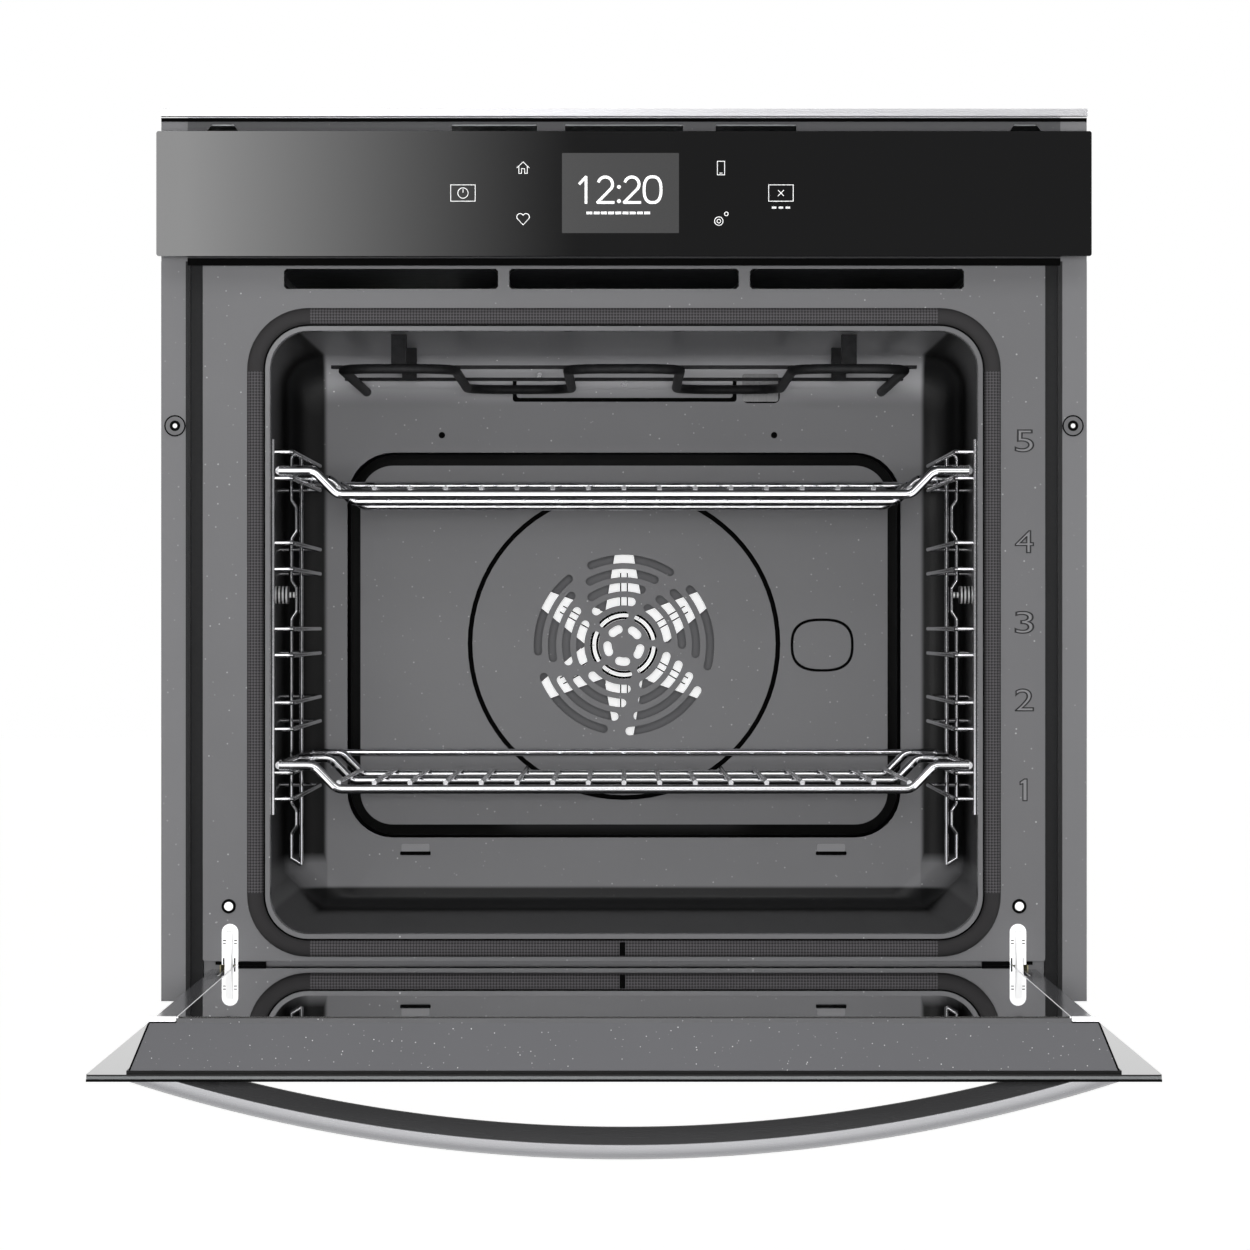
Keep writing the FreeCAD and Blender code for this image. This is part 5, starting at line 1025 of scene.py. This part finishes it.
silicone, tree, shader, place = start("black_silicone", "0c0c0c", 0.5)
drips = add(tree, "ShaderNodeTexNoise", {"Vector": place, "Scale": 1 / (2 * MM), "Detail": 2})
relief(tree, shader, drips.outputs["Fac"], 0.3, 0.0003)
pan_low, pan_high = corners_of("door_pan")
SEAL_TALL, SEAL_PROUD, SEAL_HIDDEN = 1.3, 0.5, 1.5
loops = []
for grow, z in ((SEAL_PROUD, pan_low.z), (SEAL_PROUD, pan_low.z + SEAL_TALL),
                (-SEAL_HIDDEN, pan_low.z + SEAL_TALL), (-SEAL_HIDDEN, pan_low.z)):
    loops.append([(pan_low.x - grow, pan_low.y - grow, z), (pan_high.x + grow, pan_low.y - grow, z),
                  (pan_high.x + grow, pan_high.y + grow, z), (pan_low.x - grow, pan_high.y + grow, z)])
fitted("pan_seal", [skin(loops, wrapped=True)], silicone, "door")

inner_low, inner_high = corners_of("door_inner_glass")
outer_low, outer_high = corners_of("door_outer_glass")
RIM_HALF, RIM_END = 266, -446
EDGE_LINE = 1.1
CLIP_LONG = 5
PROUD = 0.3
lip = plate(rectangle(-inner_high.x, inner_high.x, pan_high.z - 0.5, inner_high.z - 0.8),
            RIM_END, inner_low.y)
fitted("pan_front_lip", [lip], rim_enamel, "door")
# Thin black lines along the pan's top edge and its sloping sides: painted shadow in the gaps round the pan's
# end.
clips, edges, outline_shadows = [], [], []
for side in (-1, 1):
    left, right = sorted((side * (inner_high.x + 0.5), side * (RIM_HALF - 0.5)))
    clips.append(plate(rectangle(left, right, pan_high.z + 0.7, inner_high.z, 0.4),
                       RIM_END, RIM_END + CLIP_LONG))
    outline_shadows.append(plate(rectangle(left, right, pan_high.z, pan_high.z + 0.7),
                          RIM_END - PROUD, RIM_END + CLIP_LONG))
    left, right = sorted((side * (inner_high.x - 0.7), side * (inner_high.x + 0.1)))
    edges.append(plate(rectangle(left, right, inner_high.z - 1, inner_high.z),
                       inner_low.y, inner_high.y - 12))
    slope = [(side * RIM_HALF, RIM_END - PROUD, pan_high.z),
             (side * (RIM_HALF - EDGE_LINE), RIM_END - PROUD, pan_high.z),
             (side * (pan_high.x - EDGE_LINE), pan_low.y - PROUD, pan_low.z),
             (side * pan_high.x, pan_low.y - PROUD, pan_low.z)]
    outline_shadows.append(skin([slope, [(x, y + 0.5, z) for x, y, z in slope]], capped=True))
fitted("glass_corner_clips", clips, zinc_painted_glow, "door")
fitted("pan_outline_shadow", outline_shadows, black_and_painted_shade, "door")
fitted("inner_glass_edges", edges, zinc_painted_glow, "door")
polished_edge, tree, shader, place = start("ground_glass_edge", "6c6e6f", 0.3)
vary(tree, shader.inputs["Roughness"], place, 1 / (1 * MM), 0.24, 0.4)
PRINT_TOP = 1.4
edge_print = plate(rectangle(-outer_high.x + 0.1, outer_high.x - 0.1, outer_low.z, outer_low.z + PRINT_TOP),
                   outer_low.y - 0.12, outer_low.y + 0.3)
edge_strip = plate(rectangle(-outer_high.x + 0.6, outer_high.x - 0.6, outer_low.z + PRINT_TOP + 0.1,
                             outer_high.z - 0.9), outer_low.y - 0.1, outer_low.y + 0.3)
fitted("outer_glass_print_edge", [edge_print], black_and_painted_shade, "door")
fitted("outer_glass_ground_edge", [edge_strip], polished_edge, "door")

# ---- handle -------------------------------------------------------------------------------------
# A bowed bar of brushed stainless steel with a crease along its front, screwed through the glass.
# Its upper flank is painted dark, a painted reflection of the dark door glass, its underside carries painted
# shade, and both ends run into the glass's face.
BOW_RADIUS = 900
BOW_REACH = 297
BOW_STEPS = 60
BAR_THICK = 18.5
bar_low, bar_high = corners_of("handle_bar")
bar_y = (bar_low.y + bar_high.y) / 2
bow_middle = bar_low.z + BAR_THICK / 2 + BOW_RADIUS
half_wide, half_thick = (bar_high.y - bar_low.y) / 2 - 0.1, BAR_THICK / 2 - 0.1
section = [(-half_wide, 0.2), (-half_wide * 0.97, 0.7), (-half_wide * 0.2, 8.9), (-half_wide * 0.12, 9.1),
           (half_wide * 0.2, half_thick), (half_wide * 0.6, 7.8), (half_wide * 0.9, 4.4), (half_wide, 0),
           (half_wide * 0.9, -4.6), (half_wide * 0.6, -7.8), (half_wide * 0.15, -half_thick),
           (-half_wide * 0.3, -8.7), (-half_wide * 0.6, -7.2), (-half_wide * 0.86, -4.4),
           (-half_wide * 0.99, -0.4)]
loops = []
for step in range(BOW_STEPS + 1):
    x = BOW_REACH * (2 * step / BOW_STEPS - 1)
    lean = math.asin(x / BOW_RADIUS)
    loops.append([(x - rise * math.sin(lean), bar_y + across,
                   bow_middle - (BOW_RADIUS - rise) * math.cos(lean)) for across, rise in section])
bar_steel, tree, shader, place = start("satin_handle_steel", "bdbdc0", 0.28, 1.0)
drawn = add(tree, "ShaderNodeMapping", {"Vector": place, "Scale": (4, 400, 400)})
vary(tree, shader.inputs["Roughness"], drawn.outputs[0], 1, 0.2, 0.34)
from_centre = add(tree, "ShaderNodeMapping", {"Vector": place, "Location": (0, 0, -bow_middle * MM),
                                              "Scale": (1, 0, 1)})
reach = add(tree, "ShaderNodeVectorMath", {0: from_centre.outputs[0]}, operation="LENGTH")
# Painted reflection and shade: the upper flank is painted dark and less metallic, for the dark door glass it
# reflects; the underside is painted darker and its lowest edge darker still.
shares = []
for first, last in ((2.6, 5.5), (8.2, 8.9), (0.2, -0.4)):
    share = add(tree, "ShaderNodeMapRange", {"Value": reach.outputs["Value"],
                                             "From Min": (BOW_RADIUS + first) * MM,
                                             "From Max": (BOW_RADIUS + last) * MM})
    shares.append(share.outputs[0])
underside_shade_share, lowest, upper = shares
satin = mixed(tree, underside_shade_share, "aaaaad", "909093")
lower_edge_shaded = mixed(tree, lowest, satin, "4a4a4c")
tree.links.new(mixed(tree, upper, lower_edge_shaded, "484849"), shader.inputs["Base Color"])
reflection_metallic = add(tree, "ShaderNodeMapRange", {"Value": upper, "To Min": 1.0, "To Max": 0.15})
tree.links.new(reflection_metallic.outputs[0], shader.inputs["Metallic"])
handle = fitted("handle_bow", [skin(loops, capped=True)], bar_steel, "door", bend=28)
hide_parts("handle_bar")
work = bmesh.new()
work.from_mesh(handle.data)
bmesh.ops.bisect_plane(work, geom=work.verts[:] + work.edges[:] + work.faces[:],
                       plane_co=(0, 0, outer_low.z * MM), plane_no=(0, 0, 1), clear_outer=True)
bmesh.ops.holes_fill(work, edges=[edge for edge in work.edges if edge.is_boundary])
bmesh.ops.recalc_face_normals(work, faces=work.faces)
work.to_mesh(handle.data)
work.free()
